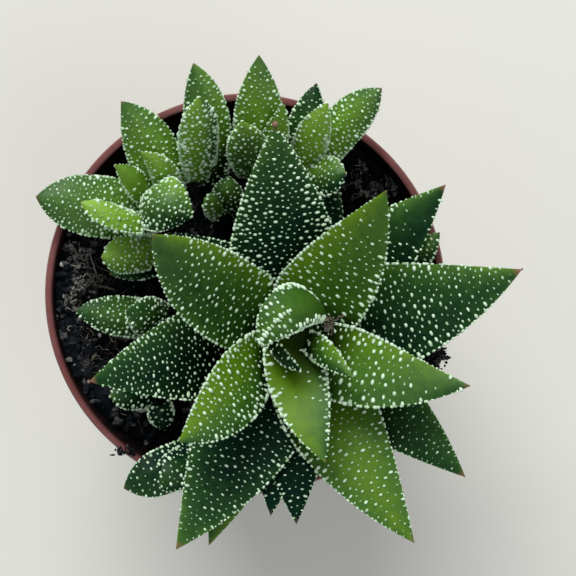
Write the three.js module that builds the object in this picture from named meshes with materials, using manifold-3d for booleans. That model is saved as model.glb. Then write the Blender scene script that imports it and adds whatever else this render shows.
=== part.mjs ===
// A potted haworthia: one large rosette with ten offsets round it, in a round nursery pot.
// Millimetres, +Z up. The origin is the middle of the pot's underside, on the pot's axis.
import * as THREE from 'three';
import { mergeVertices } from 'three/addons/utils/BufferGeometryUtils.js';
import Module from 'manifold-3d';

const wasm = await Module();
wasm.setup();

// Driving dimensions of the pot. SHOULDER is how much the collar widens from its foot to the lip.
const RIM_RADIUS = 45;
const POT_HEIGHT = 78;
const BASE_RADIUS = 31;
const WALL = 1.2;
const COLLAR_HEIGHT = 11;
const COLLAR_STEP = 1.6;
const LIP = { width: 1.7, height: 1.6 };
const SHOULDER = 0.6;
const POT_SIDES = 36;

// The underside has a ring-shaped water channel with holes in its roof and notches to the outside.
const CHANNEL = { inner: 20, outer: 27, depth: 1.5, slope: 1 };
const DRAIN = { count: 6, holeRadius: 2.5, notchWidth: 5, notchDepth: 0.7, beyond: 4 };

// Driving dimensions of the soil.
const CLEARANCE = 0.3;
const SOIL_DEPTH_BELOW_RIM = 12;
const SOIL = { sides: 28, rings: 5, lump: 0.8, tilt: 1.6, dip: 3, dipRadius: 9 };

// Banks of soil against the wall: azimuth of the middle and half-width in degrees, and height.
// They rise from the radius BANK.foot over BANK.width outwards.
const BANKS = [{ azimuth: 190, spread: 42, height: 7.8 }, { azimuth: 40, spread: 30, height: 4.6 }];
const BANK = { foot: 31, width: 8 };

// Stem sizes: radius, its shares at the lower end and at the top, and the heights of both ends.
const MOTHER_STEM = { radius: 6.8, taper: 0.5, crown: 0.6, top: 9, bottom: -26, sides: 12 };
const OFFSET_STEM = { radius: 2.4, taper: 0.55, crown: 0.8, top: -3.5, bottom: -22, sides: 8 };

// Edges that fusing leaves closer together than this are merged.
const SLIVER = 0.05;

// A leaf's cross-section: places from the left margin (1) to the right one (-1), above and below.
const UPPER_PLACES = [1, 0.5, 0, -0.5, -1];
const LOWER_PLACES = [-0.55, 0, 0.55];
const RING_SIZE = UPPER_PLACES.length + LOWER_PLACES.length;

// Leaf habits. waist is the half-width at the base and widest its place along the leaf, as shares;
// point is how full the leaf stays towards its tip, channel hollows the upper face, crest rounds it,
// a low keel sharpens the underside, and bareRows are the rows next to the stem with no tubercles.
const MOTHER_LEAF = {
  thickness: 4.5, waist: 0.72, widest: 0.3, point: 1.6, channel: 0.1, crest: 0, keel: 2.2, foot: 3,
  bareRows: 1, stations: [0, 0.2, 0.42, 0.63, 0.81, 0.93],
};
const OFFSET_LEAF = {
  thickness: 3.6, waist: 0.8, widest: 0.42, point: 2, channel: 0, crest: 0.2, keel: 2.2, foot: 1.2,
  bareRows: 0, stations: [0, 0.33, 0.64, 0.88],
};

// A tubercle is a three-sided point, sunk well into the leaf. Those on the margins are slimmer.
const FACE_TUBERCLE = { radius: 0.85, sunk: 0.35, height: 0.6 };
const NARROW_LEAF = 7;
const MARGIN_TUBERCLE = { radius: 0.45, sunk: 0.9, height: 0.5 };

// The rosettes, oldest leaves first. stem is the stem's place on the soil. Of each leaf, azimuth
// (degrees from +X) and reach (from the stem) place the tip, tip and base are heights above the rim,
// arch lifts the leaf's middle, sway bends it to its left and bow outwards, and turn rolls it about
// its midrib. A leaf grows towards its tip, or towards leansOver, out of the stem's side at foot.
const ROSETTES = {
  mother_rosette: {
    stem: [10, -9],
    habit: MOTHER_LEAF,
    stalk: MOTHER_STEM,
    leaves: [
      { azimuth: 72, reach: 35.5, tip: 0, width: 15, base: -7, arch: 3 },
      { azimuth: 140, reach: 35, tip: 8, width: 20, base: -6.3, arch: 3 },
      { azimuth: 321, reach: 49.5, tip: 7, width: 19, base: -5.7, arch: 6, sway: 2 },
      { azimuth: 44, reach: 47.5, tip: 7, width: 20, base: -6.1, arch: 6, sway: -1 },
      { azimuth: 272, reach: 42, tip: 4, width: 18, base: -7.2, arch: 5.5 },
      { azimuth: 264, reach: 40.5, tip: 3, width: 17, base: -7.5, arch: 5.5 },
      { azimuth: 249, reach: 50, tip: 4, width: 18, base: -6.8, arch: 5.5 },
      { azimuth: 193, reach: 45, tip: 8, width: 22, base: -4.1, arch: 5, sway: -0.5 },
      { azimuth: 242, reach: 53, tip: 8, width: 24, base: -3.8, arch: 5, sway: 3 },
      { azimuth: 301, reach: 52.5, tip: 10, width: 21, base: -2.3, arch: 5, sway: -3 },
      { azimuth: 16, reach: 52, tip: 12, width: 24, base: -1.6, arch: 5, sway: -4 },
      { azimuth: 94, reach: 44.5, tip: 22, width: 24, base: -1, arch: 3 },
      {
        azimuth: 143, reach: 35.4, tip: 26, width: 18.8, base: 0.2, arch: 1, sway: 3.3, foot: 4.6,
        leansOver: 151, waist: 0.4, widest: 0.24, point: 2.8,
      },
      {
        azimuth: 57, reach: 36, tip: 28, width: 19.7, base: 1.9, arch: 0.5, sway: -3.2,
        widest: 0.22, point: 1.8,
      },
      {
        azimuth: 345, reach: 39.2, tip: 20, width: 16.5, base: 3, arch: 2.8, sway: -5.1, foot: 3.9,
        leansOver: 323, widest: 0.29, point: 1.75,
      },
      {
        azimuth: 223, reach: 32, tip: 20, width: 15.5, base: 2.2, arch: 8, sway: 5.7, foot: 4.6,
        leansOver: 190, waist: 0.4, widest: 0.34, point: 1.6,
      },
      {
        azimuth: 286, reach: 27.4, tip: 20, width: 12.9, base: 4.8, arch: 5.5, sway: -2.4,
        foot: -1.5, leansOver: 275, widest: 0.3, point: 1.95,
      },
      {
        azimuth: 327, reach: 15.6, tip: 22, width: 5.8, base: 8.2, arch: 5.7, sway: 0.9, foot: 3.5,
        leansOver: 344, thickness: 3, crest: 0.15,
      },
      {
        azimuth: 289, reach: 7.6, tip: 19, width: 6.5, base: 8, arch: 5, leansOver: 215,
        thickness: 2.6, point: 1.5,
      },
      {
        azimuth: 195.7, reach: 6.8, tip: 23, width: 9.8, base: 3.5, arch: 15.7, bow: 5.6,
        sway: 9.6, foot: 8.5, leansOver: 26, thickness: 1.9, waist: 0.25, widest: 0.53, point: 2.7,
        channel: 0, keel: 1.6,
      },
    ],
  },
  offset_west: {
    stem: [-18.5, 18.5],
    leaves: [
      { azimuth: 174, reach: 27.5, tip: 6, width: 13.5, base: -7, arch: 4, sway: 1, point: 3.3 },
      { azimuth: 109, reach: 24.5, tip: 11, width: 11.5, base: -6, arch: 3, sway: -5, point: 2.6 },
      {
        azimuth: 107, reach: 12.6, tip: 12, width: 6, base: -4, arch: 2.4, sway: -6.5,
        thickness: 3, point: 2.6,
      },
      {
        azimuth: 135, reach: 13.4, tip: 10, width: 6.2, base: -5, arch: 3, sway: -1.5, foot: 2,
        leansOver: 159, thickness: 3,
      },
      {
        azimuth: 175, reach: 17, tip: 10, width: 7.3, base: -3.3, arch: 5.9, sway: 5.5, foot: 3,
        leansOver: 224, thickness: 3, waist: 0.6, widest: 0.56, point: 2.6,
      },
      {
        azimuth: 346, reach: 7.9, tip: 10, width: 12.5, base: -4, arch: 13, bow: 6, sway: -0.9,
        foot: 1.6, leansOver: 155, widest: 0.5, point: 2.6, keel: 1.2,
      },
    ],
  },
  offset_north_west: {
    stem: [-9, 23.5],
    leaves: [
      { azimuth: 94, reach: 26.5, tip: 11, width: 10, base: -7, arch: 3, sway: -3.5, point: 2.8 },
      { azimuth: 28, reach: 6.5, tip: -4, width: 5, base: -8, arch: 2, thickness: 2.5 },
      {
        azimuth: 90, reach: 18, tip: 19, width: 9, base: -5, arch: 2.8, sway: 0.8, foot: 2.5,
        leansOver: 116, waist: 0.6, widest: 0.52, point: 2.6,
      },
    ],
  },
  offset_inner: {
    stem: [-4.5, 17],
    leaves: [
      { azimuth: 83, reach: 9, tip: 4, width: 7, base: -8, arch: 4, thickness: 3, point: 2.6 },
      { azimuth: 127, reach: 6, tip: 3, width: 6, base: -8, arch: 3, thickness: 3, point: 2.6 },
      { azimuth: 10, reach: 6, tip: -3, width: 5, base: -8, arch: 2, thickness: 2.5 },
    ],
  },
  offset_north: {
    stem: [3, 26],
    leaves: [
      { azimuth: 89, reach: 25, tip: 15, width: 11, base: -6, arch: 2 },
      { azimuth: 106, reach: 11.5, tip: 14, width: 9.5, base: -5, arch: 5, sway: 1 },
      { azimuth: 69, reach: 16, tip: 12, width: 6, base: -5, arch: 2, sway: -1, thickness: 3 },
    ],
  },
  offset_north_east: {
    stem: [12.5, 27],
    leaves: [
      { azimuth: 80, reach: 20, tip: 4, width: 8.5, base: -5, arch: 5, sway: 1 },
      { azimuth: 45, reach: 24.5, tip: 12, width: 9.3, base: -6, arch: 3, sway: 1.2, point: 3.4 },
      { azimuth: 68, reach: 15, tip: 14, width: 7.5, base: -5, arch: 3, sway: 1 },
      {
        azimuth: 357, reach: 9.8, tip: 8, width: 8.7, base: -5.6, arch: 4, sway: -1.2, foot: 0.6,
        waist: 0.72, widest: 0.48, point: 3.2,
      },
    ],
  },
  offset_far_west: {
    stem: [-17, 8.4],
    leaves: [
      {
        azimuth: 182, reach: 14.7, tip: 4, width: 8.6, base: -7.4, arch: 2, sway: -0.9, foot: 2.4,
        leansOver: 163, waist: 0.66, widest: 0.5, point: 3.8,
      },
      { azimuth: 196, reach: 14.5, tip: -3, width: 6.5, base: -9, arch: 2, thickness: 3 },
      { azimuth: 25, reach: 6.5, tip: -5, width: 5.5, base: -9, arch: 2, thickness: 2.5 },
    ],
  },
  offset_south_west: {
    stem: [-17.5, -6.5],
    leaves: [
      { azimuth: 172, reach: 20.5, tip: 3, width: 9, base: -8, arch: 3, point: 2.4 },
      { azimuth: 162, reach: 9, tip: 6, width: 9, base: -7, arch: 4 },
      { azimuth: 240, reach: 8.5, tip: -5, width: 6, base: -8.5, arch: 2, thickness: 3 },
    ],
  },
  offset_shaded: {
    stem: [-20.5, -23.5],
    leaves: [
      { azimuth: 177, reach: 10.5, tip: -3, width: 6.5, base: -9, arch: 2, thickness: 3, point: 2.6 },
      { azimuth: 285, reach: 8, tip: -5, width: 6, base: -9, arch: 2, thickness: 3 },
      { azimuth: 55, reach: 6.5, tip: -6, width: 5.5, base: -9, arch: 2, thickness: 2.5 },
    ],
  },
  offset_south: {
    stem: [-9.5, -35.5],
    stalk: { ...OFFSET_STEM, top: 1 },
    leaves: [
      { azimuth: 203, reach: 18.5, tip: 6, width: 10, base: -1, arch: 6, point: 2.6 },
      { azimuth: 212, reach: 12.5, tip: 6, width: 8.5, base: -1, arch: 6, point: 2.6 },
      { azimuth: 112, reach: 8, tip: -4, width: 6, base: -8, arch: 2, thickness: 3 },
    ],
  },
  offset_east: {
    stem: [34.5, 4],
    leaves: [
      { azimuth: 48, reach: 13, tip: 4, width: 6, base: -5, arch: 4, thickness: 3 },
      { azimuth: 150, reach: 6.5, tip: -5, width: 5.5, base: -8, arch: 2, thickness: 2.5 },
    ],
  },
};

const UP = new THREE.Vector3(0, 0, 1);
const radians = THREE.MathUtils.degToRad;
const heading = (azimuth) => new THREE.Vector3(1, 0, 0).applyAxisAngle(UP, radians(azimuth));

// Turns closed geometry into a solid that can be joined and cut.
function solidOf(geometry) {
  const bare = geometry.clone();
  bare.deleteAttribute('normal');
  bare.deleteAttribute('uv');
  const merged = mergeVertices(bare, 1e-4);
  return new wasm.Manifold(new wasm.Mesh({
    numProp: 3,
    vertProperties: new Float32Array(merged.attributes.position.array),
    triVerts: new Uint32Array(merged.index.array),
  }));
}

function geometryOf(solid) {
  const mesh = solid.getMesh();
  const geometry = new THREE.BufferGeometry();
  geometry.setAttribute('position', new THREE.BufferAttribute(mesh.vertProperties, 3));
  geometry.setIndex(new THREE.BufferAttribute(mesh.triVerts, 1));
  geometry.computeVertexNormals();
  return geometry;
}

// Joins solids and keeps the one whole body: sealed hollows are filled and loose scraps dropped.
function fuse(solids) {
  const bodies = wasm.Manifold.union(solids).simplify(SLIVER).decompose();
  return bodies.reduce((largest, body) => (body.volume() > largest.volume() ? body : largest));
}

function geometryFrom(points, triangles) {
  const geometry = new THREE.BufferGeometry();
  const numbers = points.flatMap((point) => point.toArray());
  geometry.setAttribute('position', new THREE.Float32BufferAttribute(numbers, 3));
  geometry.setIndex(triangles.flat());
  return geometry;
}

// The half-width of a leaf at place t from base (0) to tip (1), as a share of its widest.
function leafOutline(leaf, t) {
  if (t < leaf.widest) return 1 - (1 - leaf.waist) * ((leaf.widest - t) / leaf.widest) ** 2;
  return 1 - ((t - leaf.widest) / (1 - leaf.widest)) ** leaf.point;
}

// The midrib is an arc from the stem to the tip; its frame gives the leaf's left and its upper side.
function leafMidrib(leaf, stem) {
  const foot = new THREE.Vector3(stem[0], stem[1], POT_HEIGHT);
  const tip = foot.clone().addScaledVector(heading(leaf.azimuth), leaf.reach);
  tip.addScaledVector(UP, leaf.tip);
  const outward = heading(leaf.leansOver ?? leaf.azimuth);
  const left = new THREE.Vector3().crossVectors(UP, outward);
  const base = foot.addScaledVector(outward, leaf.foot).addScaledVector(UP, leaf.base);
  const middle = base.clone().lerp(tip, 0.5).addScaledVector(UP, leaf.arch);
  middle.addScaledVector(left, leaf.sway).addScaledVector(outward, leaf.bow);
  return { curve: new THREE.QuadraticBezierCurve3(base, middle, tip), left };
}

function leafPoint(leaf, midrib, t, place, upper) {
  const along = midrib.curve.getTangent(t);
  const across = midrib.left.clone().addScaledVector(along, -midrib.left.dot(along)).normalize();
  across.applyAxisAngle(along, radians(leaf.turn));
  const above = new THREE.Vector3().crossVectors(along, across);
  const halfWidth = (leaf.width / 2) * leafOutline(leaf, t);
  const bulk = leaf.thickness * Math.sqrt(1 - t ** 2.2) * Math.min(1, leafOutline(leaf, t) + 0.25);
  const trough = leaf.channel * leaf.width * leafOutline(leaf, t) * (1 - place ** 2) * (1 - 1.6 * t);
  const crest = leaf.crest * leaf.width * leafOutline(leaf, t) * (1 - Math.abs(place) ** 1.4);
  const lift = upper ? crest - trough : -bulk * (1 - Math.abs(place) ** leaf.keel) ** 0.75;
  const point = midrib.curve.getPoint(t).addScaledVector(across, halfWidth * place);
  return point.addScaledVector(above, lift);
}

// The rings of points round a leaf, one for each station from its base towards its tip.
function leafRings(leaf, midrib) {
  return leaf.stations.map((t) => [
    ...UPPER_PLACES.map((place) => leafPoint(leaf, midrib, t, place, true)),
    ...LOWER_PLACES.map((place) => leafPoint(leaf, midrib, t, place, false)),
  ]);
}

function leafSolid(rings, tip) {
  const triangles = [];
  for (let j = 0; j < RING_SIZE; j += 1) {
    const next = (j + 1) % RING_SIZE;
    for (let i = 0; i + 1 < rings.length; i += 1) {
      const [a, b] = [i * RING_SIZE + j, i * RING_SIZE + next];
      triangles.push([a, b, a + RING_SIZE], [b, b + RING_SIZE, a + RING_SIZE]);
    }
    const last = (rings.length - 1) * RING_SIZE;
    triangles.push([last + j, last + next, rings.length * RING_SIZE]);
    if (j > 0 && next > 0) triangles.push([0, next, j]);
  }
  return solidOf(geometryFrom([...rings.flat(), tip], triangles));
}

// A three-sided point standing on a face, with its foot turned by the given angle.
function tubercle(place, facing, angle, { radius, sunk, height }) {
  const level = Math.abs(facing.z) < 0.9 ? UP : heading(0);
  const side = new THREE.Vector3().crossVectors(facing, level).normalize();
  const corners = [0, 1, 2].map((corner) => place.clone()
    .addScaledVector(facing, -sunk)
    .addScaledVector(side.clone().applyAxisAngle(facing, angle + (corner * 2 * Math.PI) / 3), radius));
  const point = place.clone().addScaledVector(facing, height);
  return solidOf(geometryFrom([...corners, point], [[0, 2, 1], [0, 1, 3], [1, 2, 3], [2, 0, 3]]));
}

// Tubercles in staggered rows, each in the middle of one facet, and some along both margins.
// Narrow leaves bear them along the middle of the upper face and on the margins alone.
function leafTubercles(leaf, rings) {
  const random = THREE.MathUtils.seededRandom;
  const leftMargin = 0;
  const rightMargin = UPPER_PLACES.length - 1;
  const columns = leaf.width < NARROW_LEAF ? [1, 2] : [0, 1, 2, 3, 5, 6];
  const solids = [];
  for (let i = leaf.bareRows; i + 1 < rings.length; i += 1) {
    for (const j of columns.filter((column) => (i + column) % 2 === 0)) {
      const [a, b] = [rings[i][j], rings[i][j + 1]];
      const [c, d] = [rings[i + 1][j], rings[i + 1][j + 1]];
      const facet = j < 2 ? [b, d, c] : [a, b, c];
      const place = new THREE.Vector3().add(facet[0]).add(facet[1]).add(facet[2]).divideScalar(3);
      const facing = facet[1].clone().sub(facet[0]).cross(facet[2].clone().sub(facet[0])).normalize();
      solids.push(tubercle(place, facing, random() * Math.PI, FACE_TUBERCLE));
    }
    if (i > 0) {
      const margin = i % 2 ? leftMargin : rightMargin;
      const place = rings[i][margin].clone().lerp(rings[i + 1][margin], 0.5);
      const facing = place.clone().sub(rings[i][2]).normalize();
      solids.push(tubercle(place, facing, random() * Math.PI, MARGIN_TUBERCLE));
    }
  }
  return solids;
}

// A body turned round the pot's axis, from [radius, height] pairs.
function turned(profile, sides) {
  const geometry = new THREE.LatheGeometry(profile.map(([r, z]) => new THREE.Vector2(r, z)), sides);
  return solidOf(geometry.rotateX(Math.PI / 2));
}

// A stem that narrows downwards, from just under the youngest leaves into the soil.
function stemSolid(stem, stalk, extra = 0) {
  const radius = stalk.radius + extra;
  const [top, bottom] = [POT_HEIGHT + stalk.top + extra, POT_HEIGHT + stalk.bottom - extra];
  const profile = [
    [0, bottom], [radius * stalk.taper, bottom], [radius, (top + bottom) / 2],
    [radius * stalk.crown, top], [0, top],
  ];
  return turned(profile, stalk.sides).translate([stem[0], stem[1], 0]);
}

function rosette({ stem, leaves, habit = OFFSET_LEAF, stalk = OFFSET_STEM }) {
  const solids = leaves.flatMap((own) => {
    const leaf = { arch: 0, sway: 0, bow: 0, turn: 0, ...habit, ...own };
    const midrib = leafMidrib(leaf, stem);
    const rings = leafRings(leaf, midrib);
    return [leafSolid(rings, midrib.curve.getPoint(1)), ...leafTubercles(leaf, rings)];
  });
  return fuse([stemSolid(stem, stalk), ...solids]);
}

const COLLAR_FOOT = POT_HEIGHT - COLLAR_HEIGHT;
const WALL_TOP_RADIUS = RIM_RADIUS - LIP.width / 2 - COLLAR_STEP - SHOULDER;
const INNER_BASE_RADIUS = BASE_RADIUS - WALL;
const INNER_WALL_TOP_RADIUS = WALL_TOP_RADIUS - WALL;

function pot() {
  const { inner, outer, depth, slope } = CHANNEL;
  const collarTop = RIM_RADIUS - LIP.width / 2;
  const shell = turned([
    [0, 0], [inner, 0], [inner + slope, depth], [outer - slope, depth], [outer, 0], [BASE_RADIUS, 0],
    [WALL_TOP_RADIUS, COLLAR_FOOT], [WALL_TOP_RADIUS + COLLAR_STEP, COLLAR_FOOT],
    [collarTop, POT_HEIGHT - LIP.height], [RIM_RADIUS, POT_HEIGHT - LIP.height / 2],
    [RIM_RADIUS - LIP.width / 4, POT_HEIGHT], [RIM_RADIUS - LIP.width, POT_HEIGHT],
    [WALL_TOP_RADIUS + COLLAR_STEP - WALL, COLLAR_FOOT + WALL],
    [INNER_WALL_TOP_RADIUS, COLLAR_FOOT + WALL],
    [INNER_BASE_RADIUS, WALL], [outer + slope, WALL], [outer, depth + WALL],
    [inner, depth + WALL], [inner - slope, WALL], [0, WALL],
  ], POT_SIDES);
  const cuts = Array.from({ length: DRAIN.count }, (_, index) => {
    const angle = (index * 2 * Math.PI) / DRAIN.count;
    const hole = new THREE.CylinderGeometry(DRAIN.holeRadius, DRAIN.holeRadius, 4 * depth, 8);
    hole.rotateX(Math.PI / 2).translate((inner + outer) / 2, 0, depth).rotateZ(angle);
    const reach = BASE_RADIUS - outer + DRAIN.beyond;
    const notch = new THREE.BoxGeometry(reach, DRAIN.notchWidth, 2 * DRAIN.notchDepth);
    notch.translate((BASE_RADIUS + outer) / 2, 0, 0).rotateZ(angle);
    return [solidOf(hole), solidOf(notch)];
  }).flat();
  return shell.subtract(wasm.Manifold.union(cuts));
}

// How high the banks stand at a place on the soil.
function bankHeight(x, y) {
  const rise = THREE.MathUtils.smoothstep(Math.hypot(x, y), BANK.foot, BANK.foot + BANK.width);
  return BANKS.reduce((height, bank) => {
    const away = THREE.MathUtils.radToDeg(Math.atan2(y, x)) - bank.azimuth;
    const turn = THREE.MathUtils.euclideanModulo(away + 180, 360) - 180;
    return height + bank.height * rise * Math.exp(-((turn / bank.spread) ** 4));
  }, 0);
}

// The soil's height: a gentle tilt, low lumps, the banks, and a dip round each stem.
function soilHeight(x, y) {
  const random = THREE.MathUtils.seededRandom;
  const tilt = (SOIL.tilt * (-x - y)) / RIM_RADIUS;
  const dips = Object.values(ROSETTES).map(({ stem }) => Math.hypot(x - stem[0], y - stem[1]));
  const dip = SOIL.dip * Math.exp(-((Math.min(...dips) / SOIL.dipRadius) ** 2));
  const level = POT_HEIGHT - SOIL_DEPTH_BELOW_RIM + bankHeight(x, y);
  return level + tilt - dip + SOIL.lump * (2 * random() - 1);
}

function soil() {
  const foot = CHANNEL.depth + WALL + CLEARANCE;
  const wallSlope = (INNER_WALL_TOP_RADIUS - INNER_BASE_RADIUS) / (COLLAR_FOOT - WALL);
  const flatShare = Math.cos(Math.PI / POT_SIDES);
  const wallRadius = (z) => (INNER_BASE_RADIUS + wallSlope * (z - WALL)) * flatShare - CLEARANCE;
  const points = [new THREE.Vector3(0, 0, soilHeight(0, 0))];
  const triangles = [];
  const around = (ring, index) => 1 + ring * SOIL.sides + (index % SOIL.sides);
  for (let ring = 0; ring <= SOIL.rings; ring += 1) {
    for (let index = 0; index < SOIL.sides; index += 1) {
      const out = heading((index * 360) / SOIL.sides);
      const edge = wallRadius(POT_HEIGHT - SOIL_DEPTH_BELOW_RIM - SOIL.lump - 2 * SOIL.tilt);
      const radius = ring < SOIL.rings ? (edge * (ring + 1)) / SOIL.rings : wallRadius(foot);
      const place = out.multiplyScalar(radius);
      place.z = ring < SOIL.rings ? soilHeight(place.x, place.y) : foot;
      points.push(place);
      const [a, b] = [around(ring, index), around(ring, index + 1)];
      if (ring === 0) triangles.push([0, a, b]);
      else triangles.push([a - SOIL.sides, a, b], [a - SOIL.sides, b, b - SOIL.sides]);
      if (ring === SOIL.rings && index > 0 && index + 1 < SOIL.sides) {
        triangles.push([around(ring, 0), b, a]);
      }
    }
  }
  const holes = Object.values(ROSETTES)
    .map(({ stem, stalk = OFFSET_STEM }) => stemSolid(stem, stalk, CLEARANCE));
  return solidOf(geometryFrom(points, triangles)).subtract(wasm.Manifold.union(holes));
}

THREE.MathUtils.seededRandom(4123);

const POT_PLASTIC = new THREE.MeshStandardMaterial({ color: 0x7d4034, roughness: 0.55, metalness: 0 });
const PEAT = new THREE.MeshStandardMaterial({ color: 0x2a2622, roughness: 0.95, metalness: 0 });
const MOTHER_GREEN = new THREE.MeshStandardMaterial({ color: 0x3d6a24, roughness: 0.42, metalness: 0 });
const OFFSET_GREEN = new THREE.MeshStandardMaterial({ color: 0x4b7a2c, roughness: 0.45, metalness: 0 });

function piece(name, solid, material) {
  const mesh = new THREE.Mesh(geometryOf(solid), material);
  mesh.name = name;
  return mesh;
}

const plant = new THREE.Group();
plant.add(piece('pot', pot(), POT_PLASTIC), piece('soil', soil(), PEAT));
for (const [name, plan] of Object.entries(ROSETTES)) {
  plant.add(piece(name, rosette(plan), name === 'mother_rosette' ? MOTHER_GREEN : OFFSET_GREEN));
}

export default plant;
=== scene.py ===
"""A potted haworthia: the looks of its pot, soil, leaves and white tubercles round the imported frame."""
import logging
import math
from dataclasses import dataclass, field
from enum import Enum

import bpy
import numpy as np
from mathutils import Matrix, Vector, noise


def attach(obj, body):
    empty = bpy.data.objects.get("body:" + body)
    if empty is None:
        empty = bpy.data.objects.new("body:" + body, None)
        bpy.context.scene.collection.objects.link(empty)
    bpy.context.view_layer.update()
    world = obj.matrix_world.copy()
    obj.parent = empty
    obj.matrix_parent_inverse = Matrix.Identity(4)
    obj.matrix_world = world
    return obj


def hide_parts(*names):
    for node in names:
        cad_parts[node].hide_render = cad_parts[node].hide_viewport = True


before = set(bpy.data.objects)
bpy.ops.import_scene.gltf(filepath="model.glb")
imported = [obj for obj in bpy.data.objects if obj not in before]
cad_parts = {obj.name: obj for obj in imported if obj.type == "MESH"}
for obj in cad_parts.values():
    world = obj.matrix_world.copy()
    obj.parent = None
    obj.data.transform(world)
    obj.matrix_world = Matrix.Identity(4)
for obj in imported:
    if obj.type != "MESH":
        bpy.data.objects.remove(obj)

log = logging.getLogger("haworthia")

Array = np.ndarray
Colour = tuple[float, float, float]
Span = tuple[float, float]

# Most of the classes hold millimetres, which this turns into metres for Blender.
MM = 0.001
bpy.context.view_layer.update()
ROOT = "root"
SEED = 4123
UP = np.array([0.0, 0.0, 1.0])

# The pot's driving dimensions, which the soil and the leaves are placed by.
RIM_HEIGHT = 78.0
RIM_RADIUS = 45.0
LIP_WIDTH = 1.7

# A leaf's tone, shifted and scaled by these, is its place on the skin's scale of colours.
TONE_SHIFT = -0.05
TONE_STEP = 0.75

# The share of the light that still reaches a leaf's foot deep between its neighbours.
DEEP_SHADE = 0.06


class Slot(Enum):
    """The record's material slots."""

    POT = "pot_plastic"
    SOIL = "potting_soil"
    MOTHER = "mother_leaf"
    OFFSET = "offset_leaf"
    WHITE = "tubercle_white"
    FIBRE = "dry_fibre"
    PERLITE = "perlite"


# Small helpers for places and meshes.

def unit(vectors: Array) -> Array:
    """The vectors at length one."""
    lengths = np.linalg.norm(vectors, axis=-1, keepdims=True)
    return vectors / np.maximum(lengths, 1e-12)


def heading(azimuth: float) -> Array:
    """The level direction at an azimuth in degrees from +X."""
    return np.array([math.cos(math.radians(azimuth)), math.sin(math.radians(azimuth)), 0.0])


def eased(share: Array) -> Array:
    """Shares from 0 to 1, with a soft start and a soft end."""
    return share ** 2 * (3 - 2 * share)


def deselect_all() -> None:
    """Deselects every object, as after loading the frame they all are selected."""
    bpy.ops.object.select_all(action="DESELECT")


def select_only(piece: bpy.types.Object) -> None:
    """Selects one piece alone and makes it the active one.

    Args:
        piece: The piece.
    """
    deselect_all()
    piece.select_set(True)
    bpy.context.view_layer.objects.active = piece


def mesh_object(name: str, vertices: Array, faces: list, smooth: bool = True) -> bpy.types.Object:
    """Makes an object at the origin from points in millimetres.

    Args:
        name: The piece's name.
        vertices: Points, one row each, in millimetres.
        faces: Lists of point numbers.
        smooth: Whether its faces are shaded smooth.

    Returns:
        The new object, linked to the scene.
    """
    mesh = bpy.data.meshes.new(name)
    mesh.from_pydata((np.asarray(vertices) * MM).tolist(), [], faces)
    if smooth:
        mesh.shade_smooth()
    piece = bpy.data.objects.new(name, mesh)
    bpy.context.scene.collection.objects.link(piece)
    return piece


def carry(piece: bpy.types.Object, name: str, values: Array) -> None:
    """Makes a mesh carry a number, or the four of a colour, at each point for its material.

    Args:
        piece: The piece.
        name: The name by which the material reads it.
        values: One number or one row for each point.
    """
    kind, key = ("FLOAT_COLOR", "color") if values.ndim == 2 else ("FLOAT", "value")
    attribute = piece.data.attributes.new(name, kind, "POINT")
    attribute.data.foreach_set(key, values.ravel().astype(np.float32))


def closed_rings(sides: int, rings: int) -> tuple[Array, list]:
    """The plan of any closed round body: rings of points between two poles.

    Args:
        sides: Points round each ring.
        rings: Rings between the two poles.

    Returns:
        For each point how far along and how far round it is, both from 0 to 1, and the faces facing out.
    """
    deselect_all()
    bpy.ops.mesh.primitive_uv_sphere_add(segments=sides, ring_count=rings + 1, radius=1)
    ball = bpy.context.object
    points = np.array([vertex.co[:] for vertex in ball.data.vertices])
    faces = [list(polygon.vertices) for polygon in ball.data.polygons]
    along = np.arccos(np.clip(-points[:, 2], -1, 1)) / math.pi
    around = (np.arctan2(points[:, 1], points[:, 0]) / (2 * math.pi)) % 1.0
    mesh = ball.data
    bpy.data.objects.remove(ball)
    bpy.data.meshes.remove(mesh)
    return np.stack([along, around], axis=1), faces


def round_bead(sides: int, rings: int) -> tuple[Array, list]:
    """A small round body of radius 1 with few faces, to be copied many times.

    Args:
        sides: Points round each ring.
        rings: Rings between the two poles.

    Returns:
        Its points and its faces.
    """
    grid, faces = closed_rings(sides, rings)
    tilt, angle = grid[:, 0] * math.pi, grid[:, 1] * 2 * math.pi
    points = np.stack([np.sin(tilt) * np.cos(angle), np.sin(tilt) * np.sin(angle), -np.cos(tilt)], axis=1)
    return points, faces


def joined_copies(faces: list, placed: Array) -> tuple[Array, list]:
    """Many copies of one shape as the points and faces of one mesh.

    Args:
        faces: The shape's faces.
        placed: Points of every copy, as (copy, point, 3).

    Returns:
        All points in one array and all faces.
    """
    copies, count, _ = placed.shape
    shifted = [[index + copy * count for index in face] for copy in range(copies) for face in faces]
    return placed.reshape(-1, 3), shifted


# Leaves.

@dataclass(frozen=True)
class Habit:
    """How the leaves of one kind of rosette grow; lengths in millimetres, shares of the leaf's own size.

    waist is the half-width at the base and widest its place along the leaf, point is how full the leaf
    stays towards its tip, channel hollows the upper face, crest rounds it, keel is low for a sharp back,
    foot is the way from the stem's axis to the leaf's base. bead_gap spreads the tubercles, bead_size
    and bead_width enlarge and widen them, and bead_tone is how pale most of them are. rings and sides
    count the points of each leaf's mesh.
    """

    thickness: float = 4.5
    waist: float = 0.72
    widest: float = 0.3
    point: float = 1.6
    channel: float = 0.1
    crest: float = 0.0
    keel: float = 2.2
    foot: float = 3.0
    bead_gap: float = 1.0
    bead_size: float = 1.0
    bead_width: float = 1.35
    bead_tone: float = 0.78
    rings: int = 34
    sides: int = 28


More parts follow.
